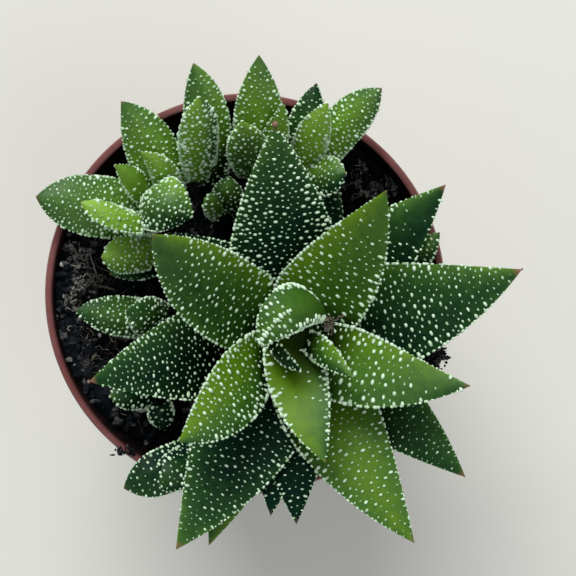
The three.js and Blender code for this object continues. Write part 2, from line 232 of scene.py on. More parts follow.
@dataclass(frozen=True)
class Leaf:
    """One leaf's own numbers: its shape in millimetres and degrees, then its look.

    The azimuth from +X and the reach from the stem place the tip; tip and base are heights above the rim.
    arch lifts the middle, sway bends it to the leaf's left and bow outwards. The leaf grows out of the
    stem towards leans_over where that isn't its azimuth. A shape number that is None is its habit's.

    youth_and_light is the skin's tone, and tip_tone, heart and lit change it at the tip, along the midrib
    and on the left half against the right one. These tones were matched to each leaf's brightness, so
    besides the skin's age they hold painted light and shade; lit paints light on one half and shade on the
    other. shaded is how far up the leaf its neighbours' painted shade reaches, and slant tilts the shade's
    edge. smooth_tip is where the bare tip begins, smooth_middle how bare the upper face is, and smooth_back
    how far up the underside is bare. dry is how brown the tip turns, and mucro the radius of its dry
    point. spacing and bead spread and enlarge the leaf's tubercles.
    """

    azimuth: float
    reach: float
    tip: float
    width: float
    base: float
    arch: float = 0.0
    sway: float = 0.0
    bow: float = 0.0
    foot: float | None = None
    leans_over: float | None = None
    widest: float | None = None
    point: float | None = None
    waist: float | None = None
    thickness: float | None = None
    crest: float | None = None
    channel: float | None = None
    keel: float | None = None
    # The skin's tone, with painted light and shade in it besides the skin's age.
    youth_and_light: float = 0.35
    tip_tone: float = 0.12
    heart: float = 0.12
    # Painted light on the leaf's left half and painted shade on its right one, where above 0.
    lit: float = 0.0
    shaded: float = 0.0
    slant: float = 0.0
    smooth_tip: float = 0.88
    smooth_middle: float = 0.0
    smooth_back: float = 0.0
    dry: float = 0.3
    mucro: float = 0.0
    spacing: float = 1.0
    bead: float = 1.0

    def tone(self, along: Array, place: Array) -> Array:
        """How young the skin looks at places along and across the leaf, with painted light and shade in it.

        Args:
            along: Places from the base, 0, to the tip, 1.
            place: Places across, from the right margin, -1, to the left one, 1.

        Returns:
            The tone at each place, higher where the skin is younger and where light is painted on.
        """
        # lit paints light on one half of the leaf and shade on the other.
        across = self.heart * (1 - place ** 2) + self.lit * place
        return self.youth_and_light + self.tip_tone * along ** 2.5 + across

    def light(self, along: Array, place: Array) -> Array:
        """How much of the light reaches places on the leaf, whose foot is deep between its neighbours.

        Args:
            along: Places from the base, 0, to the tip, 1.
            place: Places across, from the right margin, -1, to the left one, 1.

        Returns:
            Shares of the light, down to the deepest shade over the first quarter of the shaded stretch.
        """
        if not self.shaded:
            return np.ones(len(along))
        rise = np.clip((along + self.slant * place) / self.shaded * 1.3 - 0.3, 0, 1)
        return DEEP_SHADE + (1 - DEEP_SHADE) * eased(rise)


MOTHER_HABIT = Habit()
OFFSET_HABIT = Habit(
    thickness=3.6, waist=0.8, widest=0.42, point=2.0, channel=0.0, crest=0.2, foot=1.2, bead_gap=0.82,
    bead_size=1.15, bead_width=1.1, bead_tone=0.72, rings=24, sides=20,
)


@dataclass(frozen=True)
class RosettePlan:
    """Where a rosette stands, its stem, with heights from the rim, and its leaves, oldest first."""

    node: str
    stem: tuple[float, float]
    leaves: tuple[Leaf, ...]
    habit: Habit = OFFSET_HABIT
    stem_radius: float = 2.4
    stem_top: float = -3.5
    stem_bottom: float = -22.0


# Each leaf starts with its azimuth, reach, tip, width and base.
PLANS = (
    RosettePlan(
        node="mother_rosette", stem=(10, -9), habit=MOTHER_HABIT, stem_radius=6.8, stem_top=6.0,
        stem_bottom=-26.0,
        leaves=(
            Leaf(72, 35.5, 0, 15, -7, arch=3, youth_and_light=0.01, tip_tone=0.26, heart=-0.03, lit=-0.1,
                 shaded=0.85, slant=0.25),
            Leaf(140, 35, 8, 20, -6.3, arch=3, youth_and_light=0.12),
            Leaf(321, 49.5, 7, 19, -5.7, arch=6, sway=2, youth_and_light=0.26, tip_tone=0.16, heart=0.03, lit=0.1,
                 shaded=0.85, dry=0.8, bead=0.85),
            Leaf(44, 47.5, 7, 20, -6.1, arch=6, sway=-1, youth_and_light=0.37, heart=-0.11, lit=0.28, shaded=0.85,
                 smooth_tip=0.6, dry=0.9),
            Leaf(272, 42, 4, 18, -7.2, arch=5.5, youth_and_light=0.03, tip_tone=0.05, heart=0.01, lit=0.01,
                 shaded=0.85, slant=0.25),
            Leaf(264, 40.5, 3, 17, -7.5, arch=5.5, youth_and_light=0, tip_tone=0.05, heart=0.01),
            Leaf(249, 50, 4, 18, -6.8, arch=5.5, youth_and_light=0.69, tip_tone=0.13, heart=-0.14, lit=0.14,
                 bead=0.9),
            Leaf(193, 45, 8, 22, -4.1, arch=5, sway=-0.5, youth_and_light=0.25, tip_tone=0.22, heart=-0.14,
                 lit=-0.13, shaded=0.85, slant=-0.15, dry=1, mucro=0.5, spacing=0.8),
            Leaf(242, 53, 8, 24, -3.8, arch=5, sway=3, youth_and_light=0.1, tip_tone=0.68, heart=-0.13, lit=-0.05,
                 dry=0.8),
            Leaf(301, 52.5, 10, 21, -2.3, arch=5, sway=-3, youth_and_light=0.62, tip_tone=-0.06, heart=0.27,
                 lit=-0.01, shaded=0.5, slant=0.15, smooth_tip=0.93, spacing=1.05, bead=1.05),
            Leaf(16, 52, 12, 24, -1.6, arch=5, sway=-4, youth_and_light=0.28, tip_tone=0.42, heart=-0.11, lit=0.2,
                 dry=1, mucro=0.3, bead=1.15),
            Leaf(94, 44.5, 22, 24, -1, arch=3, youth_and_light=0.15, tip_tone=0.6, heart=-0.1, lit=0.04,
                 shaded=0.4, slant=0.25, smooth_tip=0.95, dry=0.4, mucro=0.75, spacing=0.86, bead=1.1),
            Leaf(143, 35.4, 26, 18.8, 0.2, arch=1, sway=3.3, foot=4.6, leans_over=151, widest=0.24,
                 point=2.8, waist=0.4, youth_and_light=0.75, tip_tone=0.13, heart=-0.25, lit=-0.24, shaded=0.2,
                 smooth_tip=0.7, spacing=1.06, bead=1.08),
            Leaf(57, 36, 28, 19.7, 1.9, arch=0.5, sway=-3.2, widest=0.22, point=1.8, youth_and_light=0.8,
                 tip_tone=0.1, heart=-0.11, lit=0.2, shaded=0.2, slant=0.15, smooth_tip=0.62,
                 spacing=1.16, bead=1.1),
            Leaf(345, 39.2, 20, 16.5, 3, arch=2.8, sway=-5.1, foot=3.9, leans_over=323, widest=0.29,
                 point=1.75, youth_and_light=0.76, tip_tone=-0.26, heart=0.01, lit=0.21, shaded=0.4,
                 smooth_tip=0.62, dry=0.5, spacing=1.12, bead=1.3),
            Leaf(223, 32, 20, 15.5, 2.2, arch=8, sway=5.7, foot=4.6, leans_over=190, widest=0.34,
                 point=1.6, waist=0.4, youth_and_light=0.7, tip_tone=-0.04, heart=0.14, lit=-0.35, shaded=0.2,
                 slant=-0.15, smooth_tip=0.85, spacing=0.9, bead=1.15),
            Leaf(286, 27.4, 20, 12.9, 4.8, arch=5.5, sway=-2.4, foot=-1.5, leans_over=275, widest=0.3,
                 point=1.95, youth_and_light=0.8, tip_tone=-0.3, heart=0.2, lit=-0.22, shaded=0.5, slant=-0.08,
                 smooth_tip=0.55, smooth_middle=0.86, bead=1.3),
            Leaf(327, 15.6, 22, 5.8, 8.2, arch=5.7, sway=0.9, foot=3.5, leans_over=344, thickness=3,
                 crest=0.15, youth_and_light=0.58, tip_tone=0, heart=0.12, lit=0.3, shaded=0.3,
                 smooth_middle=0.3),
            Leaf(289, 7.6, 19, 6.5, 8, arch=5, leans_over=215, point=1.5, thickness=2.6, youth_and_light=0.25,
                 tip_tone=-0.27, heart=0.11, lit=-0.04, shaded=0.7, slant=0.08),
            Leaf(195.7, 6.8, 23, 9.8, 3.5, arch=15.7, sway=9.6, bow=5.6, foot=8.5, leans_over=26,
                 widest=0.53, point=2.7, waist=0.25, thickness=1.9, channel=0, keel=1.6, youth_and_light=0.45,
                 tip_tone=0.05, heart=0.25, lit=0, smooth_back=0.62, spacing=0.6, bead=1.3),
        ),
    ),
    RosettePlan(
        node="offset_west", stem=(-18.5, 18.5),
        leaves=(
            Leaf(174, 27.5, 6, 13.5, -7, arch=4, sway=1, point=3.3, youth_and_light=0.72, tip_tone=-0.31,
                 heart=0.17, spacing=0.88),
            Leaf(109, 24.5, 11, 11.5, -6, arch=3, sway=-5, point=2.6, youth_and_light=1, tip_tone=-0.5,
                 heart=0.14, lit=-0.01),
            Leaf(107, 12.6, 12, 6, -4, arch=2.4, sway=-6.5, point=2.6, thickness=3, youth_and_light=1.15,
                 tip_tone=0, heart=0.1, lit=-0.01),
            Leaf(135, 13.4, 10, 6.2, -5, arch=3, sway=-1.5, foot=2, leans_over=159, thickness=3,
                 youth_and_light=1.1, tip_tone=-0.2, heart=0.1, lit=0.04, smooth_tip=0.3),
            Leaf(175, 17, 10, 7.3, -3.3, arch=5.9, sway=5.5, foot=3, leans_over=224, widest=0.56,
                 point=2.6, waist=0.6, thickness=3, youth_and_light=1.05, tip_tone=0.05, heart=0.15, lit=-0.15,
                 bead=1.2),
            Leaf(346, 7.9, 10, 12.5, -4, arch=13, sway=-0.9, bow=6, foot=1.6, leans_over=155,
                 widest=0.5, point=2.6, keel=1.2, youth_and_light=0.73, tip_tone=-0.29, heart=-0.03, lit=-0.4,
                 spacing=0.62),
        ),
    ),
    RosettePlan(
        node="offset_north_west", stem=(-9, 23.5),
        leaves=(
            Leaf(94, 26.5, 11, 10, -7, arch=3, sway=-3.5, point=2.8, youth_and_light=0.9, tip_tone=-0.26,
                 heart=0.04, lit=-0.2, shaded=0.3, slant=0.25),
            Leaf(28, 6.5, -4, 5, -8, arch=2, thickness=2.5, youth_and_light=0.08, tip_tone=0.02, heart=0.07,
                 lit=-0.03, shaded=0.85, slant=-0.25),
            Leaf(90, 18, 19, 9, -5, arch=2.8, sway=0.8, foot=2.5, leans_over=116, widest=0.52,
                 point=2.6, waist=0.6, youth_and_light=0.64, tip_tone=0.19, heart=0.28, lit=0.35, spacing=0.9,
                 bead=1.25),
        ),
    ),
    RosettePlan(
        node="offset_inner", stem=(-4.5, 17),
        leaves=(
            Leaf(83, 9, 4, 7, -8, arch=4, point=2.6, thickness=3, youth_and_light=0.59, tip_tone=-0.25,
                 heart=0.35, lit=-0.04, shaded=0.85),
            Leaf(127, 6, 3, 6, -8, arch=3, point=2.6, thickness=3, youth_and_light=0.79, tip_tone=-0.15, lit=0.24,
                 shaded=0.5, slant=0.25),
            Leaf(10, 6, -3, 5, -8, arch=2, thickness=2.5, youth_and_light=0.02, heart=0.08, lit=-0.02),
        ),
    ),
    RosettePlan(
        node="offset_north", stem=(3, 26),
        leaves=(
            Leaf(89, 25, 15, 11, -6, arch=2, youth_and_light=1.1, tip_tone=-0.5, heart=0.07, lit=0.03),
            Leaf(106, 11.5, 14, 9.5, -5, arch=5, sway=1, youth_and_light=0.81, tip_tone=0.46, heart=-0.2,
                 lit=-0.1),
            Leaf(69, 16, 12, 6, -5, arch=2, sway=-1, thickness=3, youth_and_light=0.97, tip_tone=-0.08, heart=0.1,
                 lit=-0.11),
        ),
    ),
    RosettePlan(
        node="offset_north_east", stem=(12.5, 27),
        leaves=(
            Leaf(80, 20, 4, 8.5, -5, arch=5, sway=1, youth_and_light=0.47, tip_tone=-0.39, heart=0.07, lit=0.02),
            Leaf(45, 24.5, 12, 9.3, -6, arch=3, sway=1.2, point=3.4, youth_and_light=0.84, tip_tone=-0.5,
                 heart=0.35, lit=0.07, smooth_tip=0.97, spacing=0.82),
            Leaf(68, 15, 14, 7.5, -5, arch=3, sway=1, youth_and_light=1.6, tip_tone=-0.1, heart=0.1, lit=0.15,
                 bead=1.1),
            Leaf(357, 9.8, 8, 8.7, -5.6, arch=4, sway=-1.2, foot=0.6, widest=0.48, point=3.2,
                 waist=0.72, youth_and_light=0.6, tip_tone=-0.26, heart=0.19, lit=0.35),
        ),
    ),
    RosettePlan(
        node="offset_far_west", stem=(-17, 8.4),
        leaves=(
            Leaf(182, 14.7, 4, 8.6, -7.4, arch=2, sway=-0.9, foot=2.4, leans_over=163, widest=0.5,
                 point=3.8, waist=0.66, youth_and_light=1, tip_tone=-0.1, heart=0.2, lit=-0.22, smooth_tip=0.97,
                 spacing=0.85),
            Leaf(196, 14.5, -3, 6.5, -9, arch=2, thickness=3, youth_and_light=-0.1, tip_tone=0.5, heart=0.06,
                 lit=0.19, shaded=0.5, slant=-0.08, smooth_middle=0.8, bead=0.6),
            Leaf(25, 6.5, -5, 5.5, -9, arch=2, thickness=2.5, youth_and_light=0.2),
        ),
    ),
    RosettePlan(
        node="offset_south_west", stem=(-17.5, -6.5),
        leaves=(
            Leaf(172, 20.5, 3, 9, -8, arch=3, point=2.4, youth_and_light=0.44, tip_tone=-0.28, heart=0.23,
                 lit=-0.01, spacing=0.9),
            Leaf(162, 9, 6, 9, -7, arch=4, youth_and_light=0.69, tip_tone=-0.2, heart=-0.17, lit=0.11),
            Leaf(240, 8.5, -5, 6, -8.5, arch=2, thickness=3, youth_and_light=0.2),
        ),
    ),
    RosettePlan(
        node="offset_shaded", stem=(-20.5, -23.5),
        leaves=(
            Leaf(177, 10.5, -3, 6.5, -9, arch=2, point=2.6, thickness=3, youth_and_light=-0.1, tip_tone=0.6,
                 heart=0.18, lit=0.09),
            Leaf(285, 8, -5, 6, -9, arch=2, thickness=3, youth_and_light=0.08, tip_tone=-0.02, heart=0.06),
            Leaf(55, 6.5, -6, 5.5, -9, arch=2, thickness=2.5, youth_and_light=0.1),
        ),
    ),
    RosettePlan(
        node="offset_south", stem=(-9.5, -35.5), stem_top=1.0,
        leaves=(
            Leaf(203, 18.5, 6, 10, -1, arch=6, point=2.6, youth_and_light=0.12, tip_tone=0.27, heart=0.02,
                 lit=0.12, spacing=1.2, bead=0.92),
            Leaf(212, 12.5, 6, 8.5, -1, arch=6, point=2.6, youth_and_light=-0.1, tip_tone=0.4, heart=0.35,
                 lit=-0.01),
            Leaf(112, 8, -4, 6, -8, arch=2, thickness=3, youth_and_light=0.2),
        ),
    ),
    RosettePlan(
        node="offset_east", stem=(34.5, 4),
        leaves=(
            Leaf(48, 13, 4, 6, -5, arch=4, thickness=3, youth_and_light=0.73, tip_tone=-0.15, heart=0.02,
                 lit=0.28, shaded=0.5, slant=0.25),
            Leaf(150, 6.5, -5, 5.5, -8, arch=2, thickness=2.5, youth_and_light=0.2),
        ),
    ),
)


@dataclass
class LeafSurface:
    """The surface of one leaf, worked out from its plan, in millimetres; the solids have the same form."""

    stem: tuple[float, float]
    habit: Habit
    leaf: Leaf
    base: Array = field(init=False)
    middle: Array = field(init=False)
    end: Array = field(init=False)
    left: Array = field(init=False)

    def __post_init__(self) -> None:
        """Lays the arc of the midrib from the stem to the tip."""
        leaf = self.leaf
        foot = np.array([self.stem[0], self.stem[1], RIM_HEIGHT])
        outward = heading(leaf.azimuth if leaf.leans_over is None else leaf.leans_over)
        self.left = np.cross(UP, outward)
        self.end = foot + heading(leaf.azimuth) * leaf.reach + UP * leaf.tip
        self.base = foot + outward * self.own("foot") + UP * leaf.base
        halfway = (self.base + self.end) / 2
        self.middle = halfway + UP * leaf.arch + self.left * leaf.sway + outward * leaf.bow

    def own(self, name: str) -> float:
        """The leaf's own value, or its habit's where it has none."""
        value = getattr(self.leaf, name)
        return getattr(self.habit, name) if value is None else value

    def outline(self, along: Array) -> Array:
        """The half-width along the leaf.

        Args:
            along: Places from the base, 0, to the tip, 1.

        Returns:
            Shares of the widest half-width.
        """
        widest = self.own("widest")
        low = 1 - (1 - self.own("waist")) * ((widest - along) / widest) ** 2
        high = 1 - (np.clip(along - widest, 0, 1) / (1 - widest)) ** self.own("point")
        return np.where(along < widest, low, high)

    def axes(self, along: Array) -> tuple[Array, Array, Array]:
        """The midrib and the directions there.

        Args:
            along: Places from the base, 0, to the tip, 1.

        Returns:
            The midrib's points, and unit directions across to the left and above.
        """
        t = along[:, None]
        centre = (1 - t) ** 2 * self.base + 2 * t * (1 - t) * self.middle + t ** 2 * self.end
        forward = unit(2 * (1 - t) * (self.middle - self.base) + 2 * t * (self.end - self.middle))
        across = unit(self.left - forward * (forward @ self.left)[:, None])
        return centre, across, np.cross(forward, across)

    def length(self) -> float:
        """The midrib's length in millimetres."""
        centre = self.axes(np.linspace(0, 1, 20))[0]
        return float(np.sum(np.linalg.norm(np.diff(centre, axis=0), axis=1)))

    def points(self, along: Array, place: Array, upper: Array) -> Array:
        """Points on the leaf's surface.

        The leaf is thickest at its base and thins to nothing at the tip. Its channel is deepest at the
        base too, and turns into a low swell past the middle.

        Args:
            along: Places from the base, 0, to the tip, 1.
            place: Places across, from the left margin, 1, to the right one, -1.
            upper: True for points on the upper face.

        Returns:
            One row of millimetres for each point.
        """
        along, place = np.clip(along, 0, 1), np.clip(place, -1, 1)
        centre, across, above = self.axes(along)
        outline = self.outline(along)
        width = self.leaf.width
        bulk = self.own("thickness") * np.sqrt(1 - along ** 2.2) * np.minimum(1, outline + 0.25)
        trough = self.own("channel") * width * outline * (1 - place ** 2) * (1 - 1.6 * along)
        crest = self.own("crest") * width * outline * (1 - np.abs(place) ** 1.4)
        below = -bulk * (1 - np.abs(place) ** self.own("keel")) ** 0.75
        lift = np.where(upper, crest - trough, below)
        return centre + across * (width / 2 * outline * place)[:, None] + above * lift[:, None]

    def tangents(self, along: Array, place: Array, upper: Array) -> tuple[Array, Array, Array]:
        """Directions on the surface.

        Args:
            along: Places from the base, 0, to the tip, 1.
            place: Places across, from the left margin, 1, to the right one, -1.
            upper: True for points on the upper face.

        Returns:
            Unit directions along and across the surface, and its outward normal.
        """
        step = 0.004
        ahead = self.points(along + step, place, upper) - self.points(along - step, place, upper)
        side = self.points(along, place + step, upper) - self.points(along, place - step, upper)
        ahead, side = unit(ahead), unit(side)
        normal = unit(np.cross(ahead, side)) * np.where(upper, 1.0, -1.0)[:, None]
        return ahead, unit(np.cross(normal, ahead)), normal

    def body(self) -> tuple[Array, list, Array, Array]:
        """The leaf as a closed mesh, its rings closer together towards the tip.

        Returns:
            Its points and faces, and for each point its place along and across the leaf.
        """
        grid, faces = closed_rings(self.habit.sides, self.habit.rings)
        along = 1 - (1 - grid[:, 0]) ** 1.25
        angle = grid[:, 1] * 2 * math.pi
        place = np.cos(angle)
        points = self.points(along, place, np.sin(angle) >= 0)
        points[grid[:, 0] <= 0] = self.base
        return points, faces, along, place


@dataclass
class Tubercles:
    """The white tubercles of one leaf: a loose cover on both faces and close rows on margins and keel.

    They are round and small in the middle of a leaf, wider and larger towards its margins. The two
    kinds, small and large, are shares of size; spacing is the usual gap between them in the cover, and
    uneven_gap spreads it. cover_along and cover_across bound the cover, and margin_start, margin_reach
    and keel_start are where the rows run along the leaf.
    """

    surface: LeafSurface
    random: np.random.Generator
    size: float = 0.31
    small: Span = (0.55, 0.9)
    large: Span = (1.0, 1.35)
    large_share: float = 0.6
    spacing: float = 1.5
    small_gap: float = 0.86
    large_gap: float = 1.08
    edge_gap: float = 0.92
    underside_gap: float = 1.45
    uneven_gap: Span = (0.85, 1.25)
    cover_along: Span = (0.04, 0.97)
    cover_across: Span = (-0.95, 0.95)
    margin_spacing: float = 1.28
    margin_start: float = 0.06
    margin_reach: float = 0.9
    margin_sizes: Span = (0.8, 1.2)
    keel_start: float = 0.28
    keel_sizes: Span = (0.9, 1.25)
    edge_from: float = 0.72
    edge_growth: float = 0.3
    stretch: float = 0.25
    tone_spread: float = 0.22
    tries_for_area: int = 11

    def chances(self, along: Array, place: Array, upper: bool) -> Array:
        """How likely a tubercle is at places on one face, lower where the leaf is bare.

        Args:
            along: Places from the base, 0, to the tip, 1.
            place: Places across, from -1 to 1.
            upper: Whether it is the upper face.

        Returns:
            Chances from 0 to 1.
        """
        leaf = self.surface.leaf
        edge = np.abs(place) > self.edge_from
        if not upper:
            return np.where(edge | (along > leaf.smooth_back), 1.0, 0.0)
        past = np.clip((along - leaf.smooth_tip) / (1 - leaf.smooth_tip), 0, 1)
        towards_tip = np.where(edge, 1 - 0.8 * past, np.clip(1 - 1.6 * past, 0, 1))
        return towards_tip * np.where(edge, 1, 1 - leaf.smooth_middle)

    def scattered(self, upper: bool) -> Array:
        """Places of the tubercles on one face, tried at random and kept where there is a gap.

        Args:
            upper: Whether it is the upper face.

        Returns:
            Rows of (along, place, size).
        """
        leaf, habit, random = self.surface.leaf, self.surface.habit, self.random
        reach = np.linalg.norm(self.surface.end - self.surface.base)
        tries = int(leaf.width * reach * self.tries_for_area)
        along = random.uniform(*self.cover_along, tries)
        place = random.uniform(*self.cover_across, tries)
        chance = self.chances(along, place, upper)
        open_to_all = chance > 0
        along, place, chance = along[open_to_all], place[open_to_all], chance[open_to_all]
        points = self.surface.points(along, place, np.full(len(along), upper))
        large = random.uniform(0, 1, len(along)) < self.large_share
        gap = self.spacing * habit.bead_gap * leaf.spacing * (1.0 if upper else self.underside_gap)
        gap = gap * random.uniform(*self.uneven_gap, len(along))
        gap = gap * np.where(large, self.large_gap, self.small_gap)
        gap *= np.where(np.abs(place) > self.edge_from, self.edge_gap, 1.0)
        chosen: list[int] = []
        taken = np.empty((0, 3))
        for index, point in enumerate(points):
            if chosen and np.min(np.linalg.norm(taken - point, axis=1)) < gap[index]:
                continue
            chosen.append(index)
            taken = np.vstack([taken, point])
        kept = random.uniform(0, 1, len(chosen)) < chance[chosen]
        chosen = [index for index, keep in zip(chosen, kept) if keep]
        size = random.uniform(*self.small, len(chosen))
        size = np.where(large[chosen], random.uniform(*self.large, len(chosen)), size)
        size *= self.size * habit.bead_size * leaf.bead * (1 - 0.3 * along[chosen] ** 2)
        return np.stack([along[chosen], place[chosen], size], axis=1)

    def margin_rows(self) -> Array:
        """Places of the tubercles on both margins, the largest near the base.

        Returns:
            Rows of (along, place, size).
        """
        leaf, habit = self.surface.leaf, self.surface.habit
        rows = []
        for side in (1.0, -1.0):
            count = max(4, int(self.surface.length() / self.margin_spacing / habit.bead_gap))
            turn = np.arange(count) + self.random.uniform(-0.3, 0.3, count)
            along = self.margin_start + self.margin_reach * turn / count
            size = self.size * leaf.bead ** 0.5 * self.random.uniform(*self.margin_sizes, count)
            size *= 1.45 - 0.95 * along ** 1.5
            rows.append(np.stack([along, np.full(count, side), size], axis=1))
        return np.concatenate(rows)

    def keel_row(self) -> Array:
        """Places of the tubercles that follow the keel under the leaf.

        Returns:
            Rows of (along, place, size).
        """
        leaf, habit = self.surface.leaf, self.surface.habit
        start = max(self.keel_start, leaf.smooth_back)
        gap = self.margin_spacing * habit.bead_gap / leaf.bead
        count = max(3, int((1 - start) * self.surface.length() / gap))
        last = self.cover_along[1]
        along = np.linspace(start, last, count) + self.random.uniform(-0.006, 0.006, count)
        place = self.random.uniform(-0.04, 0.04, count)
        size = self.size * leaf.bead * self.random.uniform(*self.keel_sizes, count)
        return np.stack([along, place, size], axis=1)

    def paleness(self, size: Array, edge: Array) -> Array:
        """How pale each tubercle is: the larger ones more, and those right on a margin a little less.

        Args:
            size: Their sizes.
            edge: How near the margin each one is, up to 1 right on it.

        Returns:
            Shares from 0.12, dull, to 1.
        """
        pale = self.random.normal(self.surface.habit.bead_tone, self.tone_spread, len(size)) + 0.2 * edge
        return np.clip(pale + 0.4 * (size / self.size - 1) - 0.15 * (edge == 1), 0.12, 1)

    def placed(self, bead: Array) -> tuple[Array, Array]:
        """Every tubercle's points and tone.

        Args:
            bead: The points of one tubercle of radius 1.

        Returns:
            Millimetres, as (tubercle, point, 3), and how pale each one is, from 0 to 1.
        """
        groups = [(self.scattered(True), True), (self.scattered(False), False),
                  (self.margin_rows(), True), (self.keel_row(), False)]
        copies, tones = [], []
        for rows, upper in groups:
            if not len(rows):
                continue
            along, place, size = rows.T
            side = np.full(len(rows), upper)
            points = self.surface.points(along, place, side)
            ahead, across, normal = self.surface.tangents(along, place * 0.98, side)
            edge = np.abs(place) ** 3
            pale = self.paleness(size, edge)
            tones.append(pale)
            size = size * (0.75 + 0.28 * pale)
            if np.all(edge == 1):
                # Those of a margin face outwards and lie along it like a chain.
                outward = across * np.sign(place)[:, None]
                normal = unit(outward + 0.35 * normal)
                across = unit(np.cross(normal, ahead))
                wide = size * self.random.uniform(0.8, 1.05, len(rows))
                long = size * self.random.uniform(1.1, 1.8, len(rows))
            else:
                size = size * (1 + self.edge_growth * edge)
                wide = size * (self.surface.habit.bead_width + self.stretch * edge)
                wide *= self.random.uniform(0.85, 1.25, len(rows))
                long = size * self.random.uniform(0.8, 1.05, len(rows))
            local = (across[:, None, :] * (bead[None, :, 0] * wide[:, None])[:, :, None]
                     + ahead[:, None, :] * (bead[None, :, 1] * long[:, None])[:, :, None]
                     + normal[:, None, :] * (bead[None, :, 2] * size[:, None] * 0.95)[:, :, None])
            copies.append(points[:, None, :] + local)
        return np.concatenate(copies), np.concatenate(tones)


# Finishes.

Socket = bpy.types.NodeSocket
Source = Socket | float | Colour


class Blend(Enum):
    """How one colour lies over another: it covers it, or tints it."""

    COVER = "MIX"
    TINT = "MULTIPLY"


@dataclass
class MaterialNodes:
    """The nodes of one new material, with a short way to add each kind that the finishes need."""

    name: str
    material: bpy.types.Material = field(init=False)
    shader: bpy.types.Node = field(init=False)

    def __post_init__(self) -> None:
        """Starts the material with its surface shader."""
        self.material = bpy.data.materials.new(self.name)
        self.material.use_nodes = True
        self.shader = self.material.node_tree.nodes["Principled BSDF"]

    def add(self, kind: str, **values: object) -> bpy.types.Node:
        """Adds a node and sets its numbers and options.

        Args:
            kind: Blender's name of the node's type.
            values: Each sets the property of that name, or else the input, with _ for a space.

        Returns:
            The new node.
        """
        node = self.material.node_tree.nodes.new(kind)
        for key, value in values.items():
            if hasattr(node, key):
                setattr(node, key, value)
            else:
                node.inputs[key.replace("_", " ")].default_value = value
        return node

    def feed(self, target: Socket, source: Source) -> None:
        """Links an output to an input, or sets the input itself to a plain number or colour.

        Args:
            target: The input.
            source: An output, a number or a colour.
        """
        if isinstance(source, Socket):
            self.material.node_tree.links.new(source, target)
        elif target.type == "RGBA":
            target.default_value = (*source, 1)
        else:
            target.default_value = source

    def surface(self, **sources: Source) -> None:
        """Feeds inputs of the surface shader.

        Args:
            sources: The source of each input, named with _ for a space.
        """
        for name, source in sources.items():
            self.feed(self.shader.inputs[name.replace("_", " ")], source)

    def carried(self, name: str) -> bpy.types.Node:
        """The node that reads a number or colour which the mesh carries at each point."""
        return self.add("ShaderNodeAttribute", attribute_name=name)

    def speckle(self, scale: float, detail: float, roughness: float = 0.5) -> Socket:
        """Noise on the object's own coordinates.

        Args:
            scale: How many specks there are to a metre.
            detail: How many finer layers it has.
            roughness: How strong those are.

        Returns:
            The noise, from 0 to 1.
        """
        place = self.add("ShaderNodeTexCoord")
        specks = self.add("ShaderNodeTexNoise", Scale=scale, Detail=detail, Roughness=roughness)
        self.feed(specks.inputs["Vector"], place.outputs["Object"])
        return specks.outputs["Fac"]

    def spread(self, value: Socket, taken: Span = (0.0, 1.0), given: Span = (0.0, 1.0)) -> Socket:
        """A value carried over from one range to another, and held within it.

        Args:
            value: The value.
            taken: The range that counts.
            given: What its two ends become.

        Returns:
            The new value.
        """
        node = self.add("ShaderNodeMapRange", From_Min=taken[0], From_Max=taken[1], To_Min=given[0],
                        To_Max=given[1])
        self.feed(node.inputs["Value"], value)
        return node.outputs["Result"]

    def total(self, first: Source, second: Source) -> Socket:
        """The sum of two values."""
        return self.reckoned("ADD", first, second)

    def product(self, first: Source, second: Source) -> Socket:
        """One value times the other."""
        return self.reckoned("MULTIPLY", first, second)

    def reckoned(self, operation: str, *values: Source) -> Socket:
        """The result of one step of arithmetic.

        Args:
            operation: Blender's name of the step.
            values: The values that it takes.

        Returns:
            The result.
        """
        node = self.add("ShaderNodeMath", operation=operation)
        for target, value in zip(node.inputs, values):
            self.feed(target, value)
        return node.outputs["Value"]

    def ramp(self, value: Socket, *stops: tuple[float, Colour]) -> Socket:
        """The colour at a value on a scale of colours.

        Args:
            value: The value, from 0 to 1.
            stops: Places on the scale, in order, with their colours.

        Returns:
            The colour.
        """
        node = self.add("ShaderNodeValToRGB")
        elements = node.color_ramp.elements
        while len(elements) < len(stops):
            elements.new(0.5)
        for element, (place, colour) in zip(elements, stops):
            element.position = place
            element.color = (*colour, 1)
        self.feed(node.inputs["Fac"], value)
        return node.outputs["Color"]

    def blend(self, share: Source, under: Source, over: Source, how: Blend = Blend.COVER) -> Socket:
        """One colour over another.

        Args:
            share: How much of the upper colour there is.
            under: The lower colour.
            over: The upper colour.
            how: Whether it covers the lower one or tints it.

        Returns:
            The colour that shows.
        """
        node = self.add("ShaderNodeMix", data_type="RGBA", blend_type=how.value)
        share_input, under_input, over_input, colour_output = 0, 6, 7, 2
        for index, source in ((share_input, share), (under_input, under), (over_input, over)):
            self.feed(node.inputs[index], source)
        return node.outputs[colour_output]

    def bump(self, height: Socket, strength: float, distance: float) -> None:
        """Gives the surface a fine relief.

        Args:
            height: The relief.
            strength: How much of it shows, from 0 to 1.
            distance: Its depth in metres.
        """
        node = self.add("ShaderNodeBump", Strength=strength, Distance=distance)
        self.feed(node.inputs["Height"], height)
        self.surface(Normal=node.outputs["Normal"])


